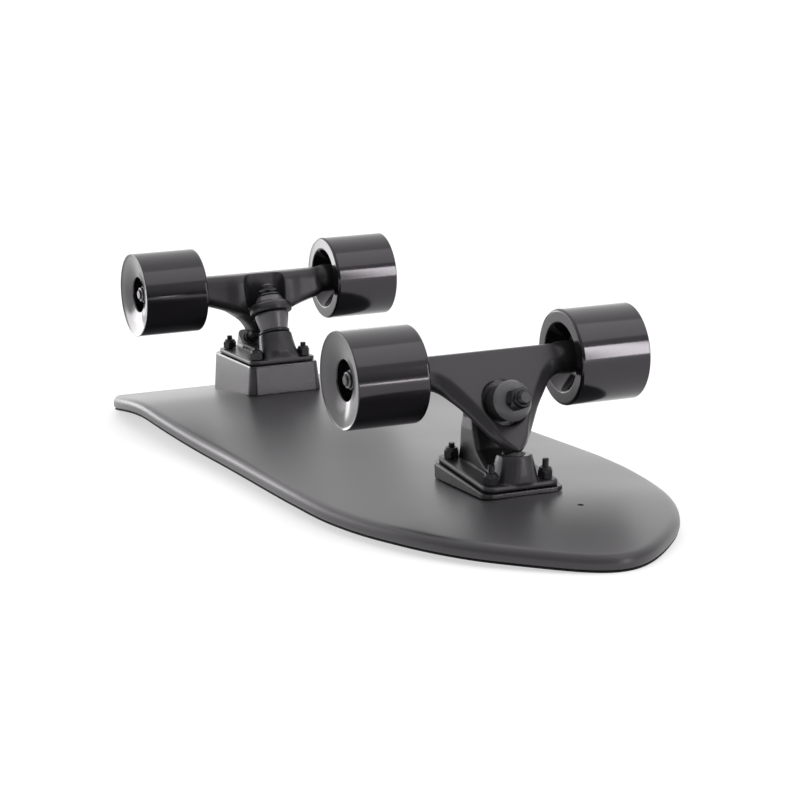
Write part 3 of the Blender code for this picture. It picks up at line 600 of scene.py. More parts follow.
# %% [markdown]
# The truck bolts pass through the deck, and a small blind hole is drilled near the nose. All of
# these are cut with turned tools, the same way a drill would.

# %% Drill the deck
BOLT_X = 31.75
BOLT_Y = 20.65
BOLT_R = 2.4
BOLT_HEAD_R = 4.7
BOLT_PLAY = 0.4
HEAD_DEPTH = 0.5
NUT_T = 7.4
FLANGE_L = 82.0
FLANGE_W = 57.0
FLANGE_T = 3.8
FRONT_PLATE = (14.4, -73.3)
FRONT_LEAN = 6.0
REAR_PLATE = (10.0, -60.0)
HANG_HOLE = (95.0, 22.5)


def grip_low(x, y):
    return deck_low(x, y) - GAP - GRIP_T


def bolt_places(truck, truck_x, plate, lean, beyond):
    """Name and frame of each bolt, its reach down to its head's face and its reach up to its tip.

    The head's face ends up HEAD_DEPTH inside the grip sheet.
    """
    up = Vector((math.sin(math.radians(lean)), 0, math.cos(math.radians(lean))))
    along = Vector((up.z, 0, -up.x))
    made = []
    for row, step, out in (("inner", -1, beyond[0]), ("outer", 1, beyond[1])):
        for side, y in (("left", -BOLT_Y), ("right", BOLT_Y)):
            seat = Vector((plate[0], y, plate[1])) + along * (BOLT_X * step) + up * FLANGE_T
            reach = 0.0
            while (seat - up * reach).z > grip_low(seat.x - up.x * reach + truck_x, y) + HEAD_DEPTH:
                reach += 0.1
            place = truck @ moved(*seat) @ tilt(lean)
            made.append((f"{row}_{side}", place, reach, NUT_T + GAP + out))
    return made


def bolt_rooms():
    shank, head = BOLT_R + BOLT_PLAY, BOLT_HEAD_R + BOLT_PLAY
    return [tool("bolt_room", place, [
        (shank, 30), (shank, 2.9 - reach), (head, 0.5 - reach), (head, -reach - 4)], 32)
            for _, place, reach, _ in FRONT_BOLTS + REAR_BOLTS]


FRONT_BOLTS = bolt_places(FRONT, 0.0, FRONT_PLATE, FRONT_LEAN, (3.2, 6.0))
REAR_BOLTS = bolt_places(REAR, -WHEELBASE, REAR_PLATE, 0.0, (3.2, 3.2))
lay(deck, BOARD)
hole = tool("hang_hole", BOARD @ moved(*HANG_HOLE, deck_height(*HANG_HOLE)),
            [(2.3, 3), (2.3, -5.0), (0, -6.2)], 32)
join_or_cut(deck, [hole] + bolt_rooms(), "DIFFERENCE")
smooth(deck, 35, False)
stand_for(deck, "deck", deck_paint)
print("bolts reach", [round(b[2], 1) for b in FRONT_BOLTS + REAR_BOLTS])

# %% [markdown]
# ## The grip sheet
# Under the deck lies a thin sheet with a sandy face. It stops just inside the deck's rim.

# %% Grip
GRIP_RIM = [(0.5, 0.0), (0.15, 0.15), (0.0, 0.4), (0.0, 0.7), (0.1, 0.9), (0.3, 1.0)]
grip = sheet("grip_skin", deck_outline(1.0), grip_low, lambda x, y: grip_low(x, y) + GRIP_T,
             GRIP_RIM, WAYS)
lay(grip, BOARD)
join_or_cut(grip, bolt_rooms(), "DIFFERENCE")
smooth(grip, 35, False)
stand_for(grip, "grip_sheet", grip_grit)
print("grip faces", len(grip.data.polygons))

# %% [markdown]
# ## The risers
# Two moulded rubber blocks lift the trucks: a thin wedge under the front one, and a tall block
# with tapered walls under the rear one. Both are skins over a box outline with round corners.
# The rear block stands on the kicked part of the deck, so its lowest ring follows the deck.

# %% Risers
SLOPE = -math.tan(math.radians(FRONT_LEAN))
FOOT_X = 9.0
FOOT_LONGER = 1 + 3.2 / 42
FOOT_WIDER = 1.03


def plate_low(x):
    """Height of the front flange's lower face, which slopes with the wedge below it."""
    return FRONT_PLATE[1] + (x - FRONT_PLATE[0]) * SLOPE


def around(plate, longer=0.0, wider=0.0, radius=6.5):
    """Outline of a truck's flange, or of what stands out all round it."""
    half = FLANGE_L / 2 + longer
    return round_box(plate[0] - half, plate[0] + half, FLANGE_W / 2 + wider, radius)


def block(name, outline, low, high, steps):
    """Skin from a lower face to an upper one, over steps of (inset, share of the height)."""
    normals = inward(outline)
    rings = []
    for inset, share in steps:
        ring = []
        for (x, y), n in zip(outline, normals):
            px, py = x + n.x * inset, y + n.y * inset
            ring.append((px, py, low(px) + (high(px) - low(px)) * share))
        rings.append(ring)
    return skin(name, rings)


front_riser = block(
    "front_riser_skin", around(FRONT_PLATE, 2.0, 2.5, 7.0),
    lambda x: deck_height(x, 0) + GAP, lambda x: plate_low(x) - GAP,
    [(0.3, 0.0), (0.0, 0.06), (0.0, 0.82), (0.12, 0.92), (0.7, 1.0)])
foot = [(FOOT_X + (x - FOOT_X) * FOOT_LONGER, y * FOOT_WIDER)
        for x, y in round_box(-34.6, 51.5, 31.4, 7)]
rear_riser = block(
    "rear_riser_skin", foot,
    lambda x: deck_height(x - WHEELBASE, 0) + GAP, lambda x: REAR_PLATE[1] - GAP,
    [(0.3, 0.0), (0.3, 0.05), (0.9, 0.3), (1.6, 0.6), (2.4, 0.93), (2.55, 0.97), (2.8, 0.992),
     (3.3, 1.0)])
for obj, place, node in ((front_riser, FRONT, "front_riser"), (rear_riser, REAR, "rear_riser")):
    lay(obj, place)
    join_or_cut(obj, bolt_rooms(), "DIFFERENCE")
    smooth(obj, 35)
    stand_for(obj, node, riser_rubber)

# %% [markdown]
# ## Wheels
# A wheel is cast urethane: a wide flat tread, a small radius at each lip, a shallow dish on the
# outer face and a deep bowl inside, which makes room for the hanger. Each of the two bearings
# sits in a pocket against a rib. One wheel is spun from its section and copied three times.

# %% One wheel and its copies
WHEEL_R = 34.32
WHEEL_Y = 84.4
HALF = 27.0
AXLE_R = 4.0
BEARING_R = 11.0
BEARING_W = 7.0
BEARING_Y = 8.5
RIB = BEARING_Y - BEARING_W / 2
SEAT = BEARING_Y + BEARING_W / 2
POCKET = BEARING_R + GAP
wheel_section = [
    ((WHEEL_R, HALF), 1.0), ((WHEEL_R, -HALF), 2.4), ((24.6, -HALF), 1.0), ((15.2, -12.4), 2.0),
    ((POCKET, -12.4), 0.4), ((POCKET, -RIB), 0), ((9.2, -RIB), 0.4), ((9.2, RIB), 0.4),
    ((POCKET, RIB), 0), ((POCKET, SEAT), 0.4), ((14.3, 12.4), 0.6), ((14.3, 22.6), 1.0),
    ((24.0, 24.8), 6.0), ((32.4, 26.2), 0.9)]
first_wheel = turned("wheel", wheel_section, 128, ring=True, per_corner=5)
smooth(first_wheel, 50)
WHEELS = [("front", FRONT, "left", -1), ("front", FRONT, "right", 1),
          ("rear", REAR, "left", -1), ("rear", REAR, "right", 1)]
for truck_name, truck, side, turn in WHEELS:
    wheel = copy_of(first_wheel, axle_frame(truck, WHEEL_Y, turn))
    stand_for(wheel, f"{truck_name}_{side}_wheel", wheel_urethane)
discard(first_wheel)
print("wheel faces", len(wheel.data.polygons))

# %% [markdown]
# ## Bearings
# A skateboard bearing is 22 mm across and 7 mm wide: an outer race, an inner race and a pressed
# shield between them that sits a little deeper. Races and shield share one finish.

# %% Bearings
face = BEARING_W / 2
race = [((AXLE_R + GAP, face), 0.25), ((6.0, face), 0.15), ((6.1, 2.9), 0.1), ((6.7, 2.7), 0.3),
        ((8.7, 2.7), 0.3), ((9.3, 2.95), 0.1), ((9.45, face), 0.15), ((BEARING_R, face), 0.5)]
first_bearing = turned("bearing", mirrored(race), ring=True, per_corner=2)
smooth(first_bearing, 40)
for truck_name, truck, side, turn in WHEELS:
    for place_name, offset in (("outer", BEARING_Y), ("inner", -BEARING_Y)):
        bearing = copy_of(first_bearing, axle_frame(truck, WHEEL_Y, turn) @ moved(0, 0, offset))
        stand_for(bearing, f"{truck_name}_{side}_{place_name}_bearing", shield_steel)
discard(first_bearing)
print("bearings", sum(o.name.endswith("bearing_fine") for o in MADE))

# %% [markdown]
# ## Nuts, washers and axles
# A lock nut is a hexagon whose corners are turned off at both ends, with a round collar that
# holds the nylon ring. The hexagon starts as a six-sided cylinder, a turned envelope takes its
# corners off, and the collar is joined on. Threads that show past a nut are cut as fine grooves.

# %% Nuts


def lock_nut(name, across_flats, height, collar, bore):
    """Nut that stands on the origin, with the collar at its top."""
    flat = across_flats / 2
    corner = flat / math.cos(math.radians(30))
    body = height - collar
    unselect()
    bpy.ops.mesh.primitive_cylinder_add(vertices=6, radius=corner * MM, depth=body * MM,
                                        location=(0, 0, body / 2 * MM))
    nut = bpy.context.object
    nut.name = name
    lay(nut, nut.matrix_world.copy())
    turned_off = flat * 0.97
    chamfer = (corner - turned_off) * math.tan(math.radians(35))
    here = Matrix()
    envelope = tool("envelope", here, [
        (turned_off, body + 0.01), (corner + 0.05, body - chamfer), (corner + 0.05, chamfer),
        (turned_off, -0.01)], 48)
    join_or_cut(nut, [envelope], "INTERSECT")
    collar_r = flat * 0.90
    crown = turned("crown", [
        ((0, height), 0), ((flat * 0.80, height), 0.5), ((collar_r, height - 0.5), 0.6),
        ((collar_r, body - 0.6), 0), ((0, body - 0.6), 0)], 48)
    join_or_cut(nut, [crown], "UNION")
    join_or_cut(nut, [tool("drill", here, [(bore, height + 1), (bore, -1)], 48)], "DIFFERENCE")
    return edged(nut, 0.18)


def thread(radius, pitch, low, high):
    """Zigzag of (radius, height) from high to low, to be spun into grooves."""
    points = []
    z = high
    while z > low:
        points += [((radius, z), 0), ((radius - pitch * 0.45, z - pitch / 2), 0)]
        z -= pitch
    return points


FACE = WHEEL_Y + SEAT + GAP
WASHER_T = 1.0
AXLE_END = FACE + 10.3
bore = AXLE_R + GAP
axle_nut = lock_nut("axle_nut", 13.0, 7.6, 2.2, bore)
washer = turned("washer", [
    ((6.4, WASHER_T), 0.25), ((6.4, 0.0), 0.25), ((bore, 0.0), 0.1), ((bore, WASHER_T), 0.1)],
    ring=True, per_corner=2)
smooth(washer, 50)
axle_half = ([((0, AXLE_END), 0), ((3.3, AXLE_END), 0)]
             + thread(AXLE_R, 1.0, FACE + 1.0, AXLE_END - 0.7) + [((AXLE_R, FACE + 0.6), 0)])
axle = turned("axle", mirrored(axle_half), 48)
smooth(axle, 35)
end_pieces = ((washer, FACE, "washer"), (axle_nut, FACE + WASHER_T + GAP, "axle_nut"))
for truck_name, truck, side, turn in WHEELS:
    for piece, at, what in end_pieces:
        twin = copy_of(piece, axle_frame(truck, at, turn))
        stand_for(twin, f"{truck_name}_{side}_{what}", nut_steel)
    if side == "left":
        stand_for(copy_of(axle, axle_frame(truck, 0)), f"{truck_name}_axle", black_steel)
discard(washer, axle_nut, axle)
print("axle end", round(AXLE_END, 1), "mm from the middle")

# %% [markdown]
# ## Truck bolts
# Eight countersunk bolts come up through the grip, the deck, the riser and the flange, and each
# is held by a lock nut with the last threads showing above it.

# %% Bolts and lock nuts
truck_nut = lock_nut("truck_nut", 9.8, NUT_T, 1.8, BOLT_R + GAP)
for truck_name, places in (("front", FRONT_BOLTS), ("rear", REAR_BOLTS)):
    for where, place, reach, tip in places:
        end = [((0, tip), 0), ((BOLT_R - 0.6, tip), 0)]
        head = [((BOLT_R, NUT_T - 1.9), 0), ((BOLT_R, 2.6 - reach), 0),
                ((BOLT_HEAD_R, 0.3 - reach), 0), ((BOLT_HEAD_R, -reach), 0.2), ((0, -reach), 0)]
        bolt = turned("bolt", end + thread(BOLT_R, 0.8, NUT_T - 1.5, tip - 0.3) + head, 32)
        smooth(lay(bolt, place), 35)
        stand_for(bolt, f"{truck_name}_bolt_{where}", black_steel)
        nut = copy_of(truck_nut, place @ moved(z=GAP))
        stand_for(nut, f"{truck_name}_nut_{where}", black_steel)
discard(truck_nut)
print("bolts and nuts", sum("_nut_" in o.name or "_bolt_" in o.name for o in MADE))

# %% [markdown]
# ## Kingpins, washers and bushings
# The kingpin clamps a stack: its nut, a cup washer, the road-side bushing, the hanger's ring, the
# board-side bushing, a second washer and the baseplate. The bushings are soft; they are left on
# no body, so they stay where they are when the hanger leans.

# %% Kingpin stacks
KINGPIN_R = 4.75
KINGPIN_ROOM = KINGPIN_R + GAP
KINGPIN_HEAD_R = 8.6
KINGPIN_HEAD_T = 5.2
CUP_WALL = 1.4
BULGE = 0.25


def kingpin(name, axis, head, nut_from, nut_t, tip):
    """Bolt from its head's face up to its tip, with a lock nut on its thread."""
    above = nut_from + nut_t
    shoulder = head + KINGPIN_HEAD_T
    end = [((0, tip), 0), ((KINGPIN_R - 1.0, tip), 0.2)]
    shank = [((KINGPIN_R, above - 3.2), 0), ((KINGPIN_R, shoulder), 0)]
    round_head = [((KINGPIN_HEAD_R, shoulder), 0.3), ((KINGPIN_HEAD_R, head + 1.0), 0.6),
                  ((KINGPIN_HEAD_R - 1.0, head), 0.3), ((0, head), 0)]
    grooves = thread(KINGPIN_R, 1.06, above - 2.5, tip - 0.8)
    pin = turned("kingpin", end + grooves + shank + round_head, 48)
    smooth(lay(pin, axis), 35)
    stand_for(pin, f"{name}_kingpin", black_steel)
    nut = lock_nut("kingpin_nut", 14.3, nut_t, 3.2, KINGPIN_ROOM)
    turn = Matrix.Rotation(math.radians(12), 4, "Z")
    stand_for(lay(nut, axis @ moved(z=nut_from) @ turn), f"{name}_kingpin_nut", black_steel)


def cup_washer(name, axis, radius, low, rim, look):
    """Dished washer; `rim` is how far its rim stands up, or down for the domed upper one."""
    wall = math.copysign(CUP_WALL, rim)
    outside = [((radius, low), 1.1)]
    inside = [((radius - CUP_WALL, low + wall), 0.5)]
    if rim < 0:
        outside = [((radius * 0.58, low), 2.4), ((radius * 0.86, low + rim * 0.38), 2.8)]
        inside = [((radius - 1.7, low + rim * 0.72), 0.3), ((radius - 3.4, low + wall), 0.3)]
    rim_corners = [((radius, low + rim), 0.5), ((radius - CUP_WALL, low + rim), 0.5)]
    corners = ([((KINGPIN_ROOM, low), 0.1)] + outside + rim_corners + inside
               + [((KINGPIN_ROOM, low + wall), 0.1)])
    washer = turned("cup_washer", corners, 72, ring=True, per_corner=4)
    smooth(lay(washer, axis), 50)
    stand_for(washer, f"{name}_cup_washer", look)


def bushing(truck_name, which, axis, low, high, r_low, r_high, look):
    """Soft ring, left on no body, so it does not follow the hanger."""
    waist = max(r_low, r_high) - abs(r_low - r_high) / 2 + BULGE
    corners = [((KINGPIN_ROOM, high), 0.2), ((r_high, high), 2.6), ((waist, (low + high) / 2), 6.0),
               ((r_low, low), 1.6), ((KINGPIN_ROOM, low), 0.2)]
    soft = turned("bushing", corners, 72, ring=True, per_corner=5)
    smooth(lay(soft, axis), 50)
    stand_for(soft, f"{truck_name}_{which}_bushing", look, ride=False)
    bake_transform(soft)


kingpin("front", FRONT_KINGPIN, -47.4, 17.3, 13.0, 33.8)
cup_washer("front_upper", FRONT_KINGPIN, 14.6, 17.0, -5.0, washer_zinc)
cup_washer("front_lower", FRONT_KINGPIN, 14.6, -28.0, 3.2, washer_zinc)
kingpin("rear", REAR_KINGPIN, -38.0, 17.3, 6.0, 24.3)
cup_washer("rear_upper", REAR_KINGPIN, 10.6, 17.0, -2.4, black_steel)
cup_washer("rear_lower", REAR_KINGPIN, 12.6, -17.6, 2.2, black_steel)
bushing("front", "road", FRONT_KINGPIN, -5.9, 15.3, 12.6, 12.6, bushing_urethane)
bushing("front", "board", FRONT_KINGPIN, -26.3, -16.3, 12.6, 13.5, bushing_urethane)
bushing("rear", "board", REAR_KINGPIN, -15.9, -0.3, 10.9, 14.5, pale_urethane)
bushing("rear", "road", REAR_KINGPIN, 8.3, 15.3, 12.4, 8.8, pale_urethane)
print("stacks made")

# %% [markdown]
# ## Pivot cups
# Each hanger ends in a round nub that turns in a small moulded cup on the steering axis.

# %% Cups
FRONT_CUP = (7.0, 4.6, 5.6)
REAR_CUP = (6.6, 4.3, 4.0)


def quarter(radius):
    """Corners of a quarter circle, from the widest level down to the axis."""
    angles = [math.radians(15 * k) for k in range(7)]
    return [(radius * math.cos(a), -radius * math.sin(a)) for a in angles]


def pivot_cup(name, place, cup_r, nub_r, depth):
    inner = nub_r + GAP
    lip = [(inner, depth - 0.3), (inner + 0.3, depth), (cup_r - 0.3, depth), (cup_r, depth - 0.3)]
    corners = quarter(inner)[::-1] + lip + quarter(cup_r)
    cup = turned("cup", [(corner, 0) for corner in corners], 48)
    smooth(lay(cup, place), 50)
    stand_for(cup, name, cup_plastic)


pivot_cup("front_pivot_cup", FRONT_PIVOT, *FRONT_CUP)
pivot_cup("rear_pivot_cup", REAR_PIVOT, *REAR_CUP)
print("cups made")

# %% [markdown]
# ## Baseplates
# A baseplate is one casting: a flange, a post or boss that carries the kingpin, and a boss that
# holds the pivot cup. Each of these is a small skin; they are joined, the seats are cut, and the
# whole casting is softened.

# %% The front baseplate


def level(x0, x1, half_y, radius, z, slope=0.0, middle=FRONT_PLATE[0]):
    """Ring of a box's outline at height z, which rises by `slope` from the middle on."""
    return [(x, y, z + (x - middle) * slope) for x, y in round_box(x0, x1, half_y, radius)]


def pivot_room(place, cup):
    """Room for a pivot cup, with a coarse round bottom."""
    r = cup[0] + GAP
    return tool("pivot_room", place,
                [(r, 40), (r, 0), (r * 0.866, -r * 0.5), (r * 0.5, -r * 0.866), (0, -r)], 48)


def cast_baseplate(name, truck, plate, low, added, cut):
    """Join the skins to the flange, cut the seats and the bolt holes, and soften the casting."""
    casting = block(f"{name}_baseplate_cast", around(plate), low, lambda x: low(x) + FLANGE_T,
                    [(0.6, 0.0), (0.0, 0.2), (0.0, 0.8), (0.7, 1.0)])
    lay(casting, truck)
    join_or_cut(casting, added, "UNION")
    join_or_cut(casting, cut + bolt_rooms(), "DIFFERENCE")
    cast(casting, 4)
    stand_for(casting, f"{name}_baseplate", powder_coat)
    print(name, "baseplate faces", len(casting.data.polygons))


def pile(name, truck, *sizes):
    """Skin over a pile of box outlines of the given sizes, laid in a truck's frame."""
    return lay(skin(name, [level(*size) for size in sizes]), truck)


pad = pile("pad", FRONT, (-17, 50, 15.2, 6, -71.2, SLOPE), (-16, 49, 14.8, 6, -65.6, SLOPE))
post = pile("post", FRONT, (-20, 31, 15.3, 4, -68.5), (-18.0, 21.0, 15.2, 4, -62.5),
            (-16.8, 13.0, 15.0, 4, -56.5), (-15.8, 8.2, 14.6, 4, -44), (-14.0, 1.0, 12.0, 4, -27))
boss = pile("boss", FRONT, (22.0, 55.8, 15.6, 12, -73.5), (25.0, 55.6, 14.4, 12, -68.0),
            (28.0, 54.6, 12.8, 11.5, -59.0), (30.0, 53.4, 11.8, 10.5, -55.0))
ear = tool("ear", FRONT_KINGPIN, [(14.0, -27.0), (14.0, -40.6), (12.8, -42.0)])
seat_room = tool("seat_room", FRONT_KINGPIN, [
    (15.6, 10), (15.6, -28.3), (KINGPIN_ROOM, -28.3), (KINGPIN_ROOM, -41.9), (9.0, -41.9),
    (9.0, -60)])
cast_baseplate("front", FRONT, FRONT_PLATE, plate_low, [pad, post, boss, ear],
               [seat_room, pivot_room(FRONT_PIVOT, FRONT_CUP)])

# %% The rear baseplate
REAR_LEAN = math.radians(REAR_KINGPIN_LEAN)
REAR_UP = Vector((math.sin(REAR_LEAN), 0, math.cos(REAR_LEAN)))
FLARE_X = 50.1
FLARE_Y = 15.25


def flare_ring(t, radius_x, radius_y, share):
    """Section of the kingpin's boss, turning from level at the flange to square at its top."""
    lean = REAR_LEAN * (1 - share)
    centre = REAR_KINGPIN_AT + REAR_UP * t
    across = Vector((math.cos(lean), 0, -math.sin(lean)))
    points = []
    for k in range(48):
        a = math.tau * k / 48
        x, y, z = centre + across * (radius_x * math.cos(a))
        points.append((min(x, FLARE_X), min(max(radius_y * math.sin(a), -FLARE_Y), FLARE_Y), z))
    return points


flare = lay(skin("flare", [flare_ring(*size) for size in (
    (-40.2, 19.5, 20.5, 1.0), (-37.0, 16.4, 17.8, 1.0), (-31.5, 14.2, 15.8, 0.75),
    (-25.0, 12.8, 14.6, 0.4), (-18.9, 12.2, 13.8, 0.0), (-17.9, 11.4, 13.0, 0.0))]), REAR)
saddle = pile("saddle", REAR, (-31.2, -6.0, 13.5, 5, -58.5), (-33.0, -9.0, 11.5, 5, -53.5),
              (-33.6, -16.0, 9.6, 5, -45.2, -0.62, -30.0))
spine = pile("spine", REAR, (-20, 34, 13.0, 5, -58.0), (-18, 32, 11.0, 5, -52.8))
head_room = tool("head_room", REAR_KINGPIN, [
    (KINGPIN_ROOM, 0), (KINGPIN_ROOM, -32.4), (8.9, -32.4), (8.9, -70)], 48)
cast_baseplate("rear", REAR, REAR_PLATE, lambda x: REAR_PLATE[1], [flare, saddle, spine],
               [head_room, pivot_room(REAR_PIVOT, REAR_CUP)])

# %% [markdown]
# ## Hangers
# The hanger takes the most skill. Across the board it is one casting that starts round at the
# axle's ends and grows into a web. On the front truck the web is a flat facet that faces the
# nose, with a ring for the bushings and a tip that ends in the pivot. On the rear truck the beam
# has a flared notch around the kingpin. Each is a skin over sections at many stations, and the
# size of a section at a station is read from a smooth line through a few measured points.

# %% Sections and stations


def between(y, table):
    """Value at y on a line through (y, value) rows that starts level and never overshoots."""
    ys = [row[0] for row in table]
    vs = [row[1] for row in table]
    rise = [(vs[i + 1] - vs[i]) / (ys[i + 1] - ys[i]) for i in range(len(ys) - 1)]
    tangent = [0.0]
    for a, b in zip(rise, rise[1:]):
        tangent.append(0.0 if a * b <= 0 else 2 * a * b / (a + b))
    tangent.append(rise[-1])
    for i in range(len(ys) - 1):
        if y <= ys[i + 1]:
            h = ys[i + 1] - ys[i]
            t = (y - ys[i]) / h
            return ((1 + 2 * t) * (1 - t) ** 2 * vs[i] + t * (1 - t) ** 2 * h * tangent[i]
                    + t * t * (3 - 2 * t) * vs[i + 1] + t * t * (t - 1) * h * tangent[i + 1])
    return vs[-1]


HANGER_END = WHEEL_Y - SEAT - GAP
BEAM_R = 11.6
ROUND_FROM = 50.0
ROUND_OVER = 8.0
RING_BORE = 6.9


def beam(name, section, start):
    """Skin across the board over sections that mirror about the middle.

    Towards its ends the section turns into a circle whose first point lies at `start` degrees.
    """
    stations = [i * 1.5 for i in range(40)] + [60.0, 64.0, 68.0, HANGER_END - 1.4]
    rings = []
    for y in [-s for s in reversed(stations[1:])] + stations:
        points = section(abs(y))
        t = min(1.0, max(0.0, (abs(y) - ROUND_FROM) / ROUND_OVER))
        t = t * t * (3 - 2 * t)
        ring = []
        for k, (x, z) in enumerate(points):
            a = math.radians(start - 360 * k / len(points))
            ring.append((x * (1 - t) + BEAM_R * math.cos(a) * t, y,
                         z * (1 - t) + BEAM_R * math.sin(a) * t))
        rings.append(ring)
    return skin(name, rings)


def cast_hanger(name, truck, section, start, pivot, cup, added, cut):
    """Join the ends and the pivot's nub to the beam, cut the rooms and soften the casting."""
    casting = lay(beam(f"{name}_hanger_cast", section, start), truck)
    axis = axle_frame(truck, 0)
    e = HANGER_END
    ends = tool("beam_ends", axis, [(8.0, e), (9.6, e - 2.5), (9.6, 2.5 - e), (8.0, -e)])
    join_or_cut(casting, added + [ends], "UNION")
    cup_r, nub_r, depth = cup
    over = tool("over_cup", pivot, [(cup_r + 1.2, depth + 0.7), (cup_r + 1.2, -12)], 48)
    join_or_cut(casting, [over], "DIFFERENCE")
    nub = tool("nub", pivot, [(nub_r + 2.6, 20), (nub_r + 1.4, 12.5), (nub_r, depth + 0.6)]
               + quarter(nub_r), 48)
    join_or_cut(casting, [nub], "UNION")
    drill = tool("axle_drill", axis, [(AXLE_R + GAP, 90), (AXLE_R + GAP, -90)], 48)
    join_or_cut(casting, cut + [drill], "DIFFERENCE")
    cast(casting, 3)
    stand_for(casting, f"{name}_hanger", powder_coat)
    print(name, "hanger faces", len(casting.data.polygons))


print("hanger ends at", round(HANGER_END, 1), "mm")

# %% The front hanger
FACET_LEAN = 35.6
FACET = math.radians(FACET_LEAN)
FACET_K = 10.4
BACK_K = -11.0
FACET_TIP = [(0, -71.0), (3.0, -68.5), (9.5, -60.0), (14.5, -47.0), (22.0, -32.5), (30.0, -20.0),
             (38.0, -10.5), (46.0, -6.5), (60.0, -6.0)]
WEB_TIP = [(0, -72.0), (3.5, -70.8), (8.0, -67.0), (14.0, -60.5), (19.0, -52.5), (27.0, -39.5),
           (34.5, -29.5), (43.5, -18.5), (52.0, -13.5), (60.0, -11.5)]
BACK_TIP = [(0, -56.0), (8.0, -50.0), (12.0, -44.0), (17.7, -35.0), (24.0, -25.5), (32.6, -16.0),
            (41.6, -10.5), (60.0, -8.0)]


def facet_point(k, s):
    """k is depth along the facet's normal and s runs up the facet from the axle."""
    return (k * math.cos(FACET) - s * math.sin(FACET), k * math.sin(FACET) + s * math.cos(FACET))


def front_section(y):
    """Section of the web: the facet's two edges, the tip of the web and the back."""
    facet, web, back = (between(y, table) for table in (FACET_TIP, WEB_TIP, BACK_TIP))
    corners = ((FACET_K, 6.6, 2.5), (FACET_K, facet, 2.5), (4.5, web, 6.0), (BACK_K, back, 5.0),
               (BACK_K, 1.0, 5.0), (0.5, 11.2, 4.0))
    return rolled([(facet_point(k, s), radius) for k, s, radius in corners], 6)


ring_room = tool("ring_room", FRONT_KINGPIN, [
    (16.6, 60), (16.6, -6.2), (RING_BORE, -6.2), (RING_BORE, -16.0), (17.5, -16.0),
    (19.5, -50)], 72)
cast_hanger("front", FRONT, front_section, FACET_LEAN + 48, FRONT_PIVOT, FRONT_CUP, [], [ring_room])

# %% The rear hanger
RING_TOP = 8.0
BEAM_LOW = [(0, -34.0), (9, -32.0), (14, -28.0), (22, -25.0), (34, -20.3), (48, -16.0), (60, -12.0)]
BEAM_INNER = [(0, 13.5), (22, 13.5), (34, 12.0), (60, 10.5)]
TOE_LOW = [(0, -44.5), (6, -43.5), (10, -38.5), (15, -33.0), (24, -26.0), (34, -19.0), (48, -13.2),
           (60, -10.8)]
TOE_X = [(0, -21.0), (6, -20.0), (12, -15.5), (20, -11.0), (60, -9.5)]


def rear_section(y):
    """Section of the beam: its top, its inner wall, its low edge and the toe."""
    low, inner, toe, toe_x = (between(y, table) for table in (BEAM_LOW, BEAM_INNER, TOE_LOW, TOE_X))
    return rolled([
        ((inner - 5.0, 9.9), 5.0), ((inner - 1.8, 3.5), 4.0), ((inner + 0.6, low + 5.0), 5.0),
        ((1.0, min(low, toe + 3.5)), 5.0), ((toe_x, toe), 4.0), ((-11.5, 2.0), 6.0),
        ((-6.5, 9.9), 5.0)], 6)


def recess_ring(half_back, half_front, half_mouth, height=None):
    """Plan of the flared notch; without a height it lies on the face of the kingpin's ring."""
    centre = REAR_KINGPIN_AT.xz + REAR_UP.xz * RING_TOP
    plan = rolled([((5.6, -half_back), 5), ((5.6, half_back), 5), ((14.5, half_front), 2),
                   ((44.0, half_mouth), 2), ((44.0, -half_mouth), 2), ((14.5, -half_front), 2)], 4)
    fall = math.tan(-REAR_LEAN)
    return [(x, y, centre.y + (x - centre.x) * fall if height is None else height) for x, y in plan]


ring = tool("ring", REAR_KINGPIN, [(15.6, RING_TOP), (17.4, 6.0), (17.8, 3.0), (16.8, -2)])
recess = skin("recess", [recess_ring(13.2, 17.0, 26.0), recess_ring(14.6, 22.0, 46.0, 16.0)])
lay(recess, REAR)
stack_room = tool("stack_room", REAR_KINGPIN, [(RING_BORE, 18), (RING_BORE, 0), (22, 0), (22, -40)])
cast_hanger("rear", REAR, rear_section, 68, REAR_PIVOT, REAR_CUP, [ring], [recess, stack_room])

# %% [markdown]
# ## Floor and light
# The photograph has a pure white ground and soft light from all round. A tent of light stands in
# for the studio: it is brightest above and behind the board, which gives the deck its long soft
# sheen, and dim towards the lens. Straight from the camera it is plain white on every side. The
# floor glows a little of its own, so that it stays white and the shadow under the board is faint.

# %% Floor and tent
unselect()
bpy.ops.mesh.primitive_plane_add(size=36)
floor = bpy.context.object
floor.name = "floor"
paper = bpy.data.materials.new("paper")
paper.use_nodes = True
feed(paper.node_tree.nodes["Principled BSDF"], {
    "Base Color": (0.45, 0.45, 0.45, 1), "Roughness": 0.9, "Specular IOR Level": 0.1,
    "Emission Color": (1, 1, 1, 1), "Emission Strength": 0.6})
floor.data.materials.append(paper)

world = bpy.data.worlds.new("tent")
bpy.context.scene.world = world
world.use_nodes = True
tent = world.node_tree


def work_out(operation, *values):
    """Output of a maths node whose inputs are numbers or other outputs."""
    return output(tent, "Math", dict(enumerate(values)), operation=operation)


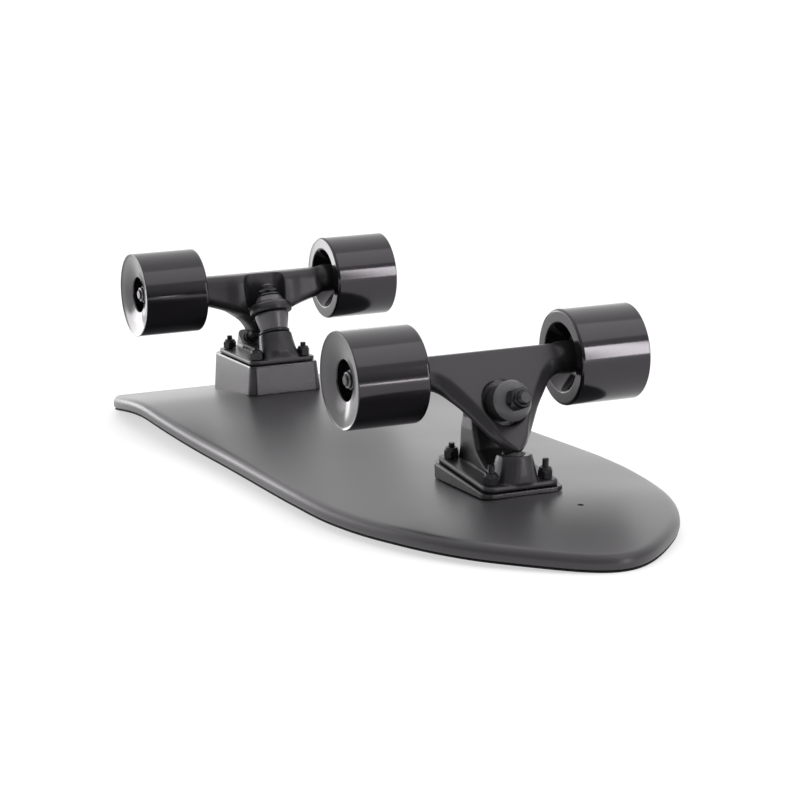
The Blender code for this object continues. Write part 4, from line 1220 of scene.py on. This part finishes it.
looking = tent.nodes.new("ShaderNodeSeparateXYZ")
feed(looking, {"Vector": output(tent, "TexCoord", {}, "Generated")})
ahead, across, up = looking.outputs
above = work_out("MAXIMUM", up, 0.0)
beside = work_out("MAXIMUM", across, 0.0)
behind = work_out("MAXIMUM", work_out("MULTIPLY", ahead, -1.0), 0.0)
low_down = work_out("POWER", work_out("SUBTRACT", 1.0, work_out("ABSOLUTE", up)), 5.0)
horizon = work_out("MULTIPLY", work_out("POWER", behind, 3.0), low_down)
glow = 0.05
for share, amount in ((above, 1.03), (behind, 0.89), (beside, 0.4), (horizon, 2.5)):
    glow = work_out("ADD", work_out("MULTIPLY", share, amount), glow)
seen = output(tent, "LightPath", {}, "Is Camera Ray")
feed(tent.nodes["Background"], {"Color": (1, 1, 1, 1), "Strength": work_out("MAXIMUM", glow, seen)})
bpy.context.scene.view_settings.view_transform = "Standard"
print("tent nodes", len(tent.nodes))

# %% [markdown]
# ## Softboxes
# The highlights are drawn by softboxes whose places were read off the wheels, which mirror the
# studio like round mirrors. A tall box beyond the nose, to the right, makes the bright band on the
# right-hand treads; its near edge stops short of what the left-hand treads mirror. A thin strip
# low down makes the fine line on the left-hand treads, a wide box overhead gives the treads their
# upper half and the hanger its sheen, and two boxes at the back left light the wheels' outer faces.

# %% Softboxes


def softbox(name, at, aim, width, height, glare):
    """Rectangle of light of a given radiance, facing `aim`."""
    lamp = bpy.data.lights.new(name, "AREA")
    lamp.shape = "RECTANGLE"
    lamp.size = width
    lamp.size_y = height
    lamp.energy = glare * math.pi * width * height
    obj = bpy.data.objects.new(name, lamp)
    bpy.context.scene.collection.objects.link(obj)
    obj.location = at
    obj.rotation_euler = (Vector(aim) - Vector(at)).to_track_quat("-Z", "Y").to_euler()


softbox("overhead_box", (1.20, 1.00, 2.05), (0, 0, 0.1), 1.6, 1.6, 0.82)
softbox("side_box", (-1.80, -1.80, 0.64), (0, 0, 0.1), 1.2, 0.9, 1.28)
softbox("face_box", (-0.92, -0.36, 0.13), (-0.20, -0.04, 0.10), 0.32, 0.24, 3.8)
softbox("band_box", (2.50, 1.37, 0.64), (0.0, 0.08, 0.64), 0.22, 1.24, 13.5)
softbox("line_box", (1.15, 0.38, 0.022), (0.178, -0.08, 0.06), 0.2, 0.03, 16.0)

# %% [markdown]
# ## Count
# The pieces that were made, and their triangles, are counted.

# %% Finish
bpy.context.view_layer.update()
triangles = sum(len(p.vertices) - 2 for o in MADE for p in o.data.polygons)
print("pieces", len(MADE), "triangles", triangles)
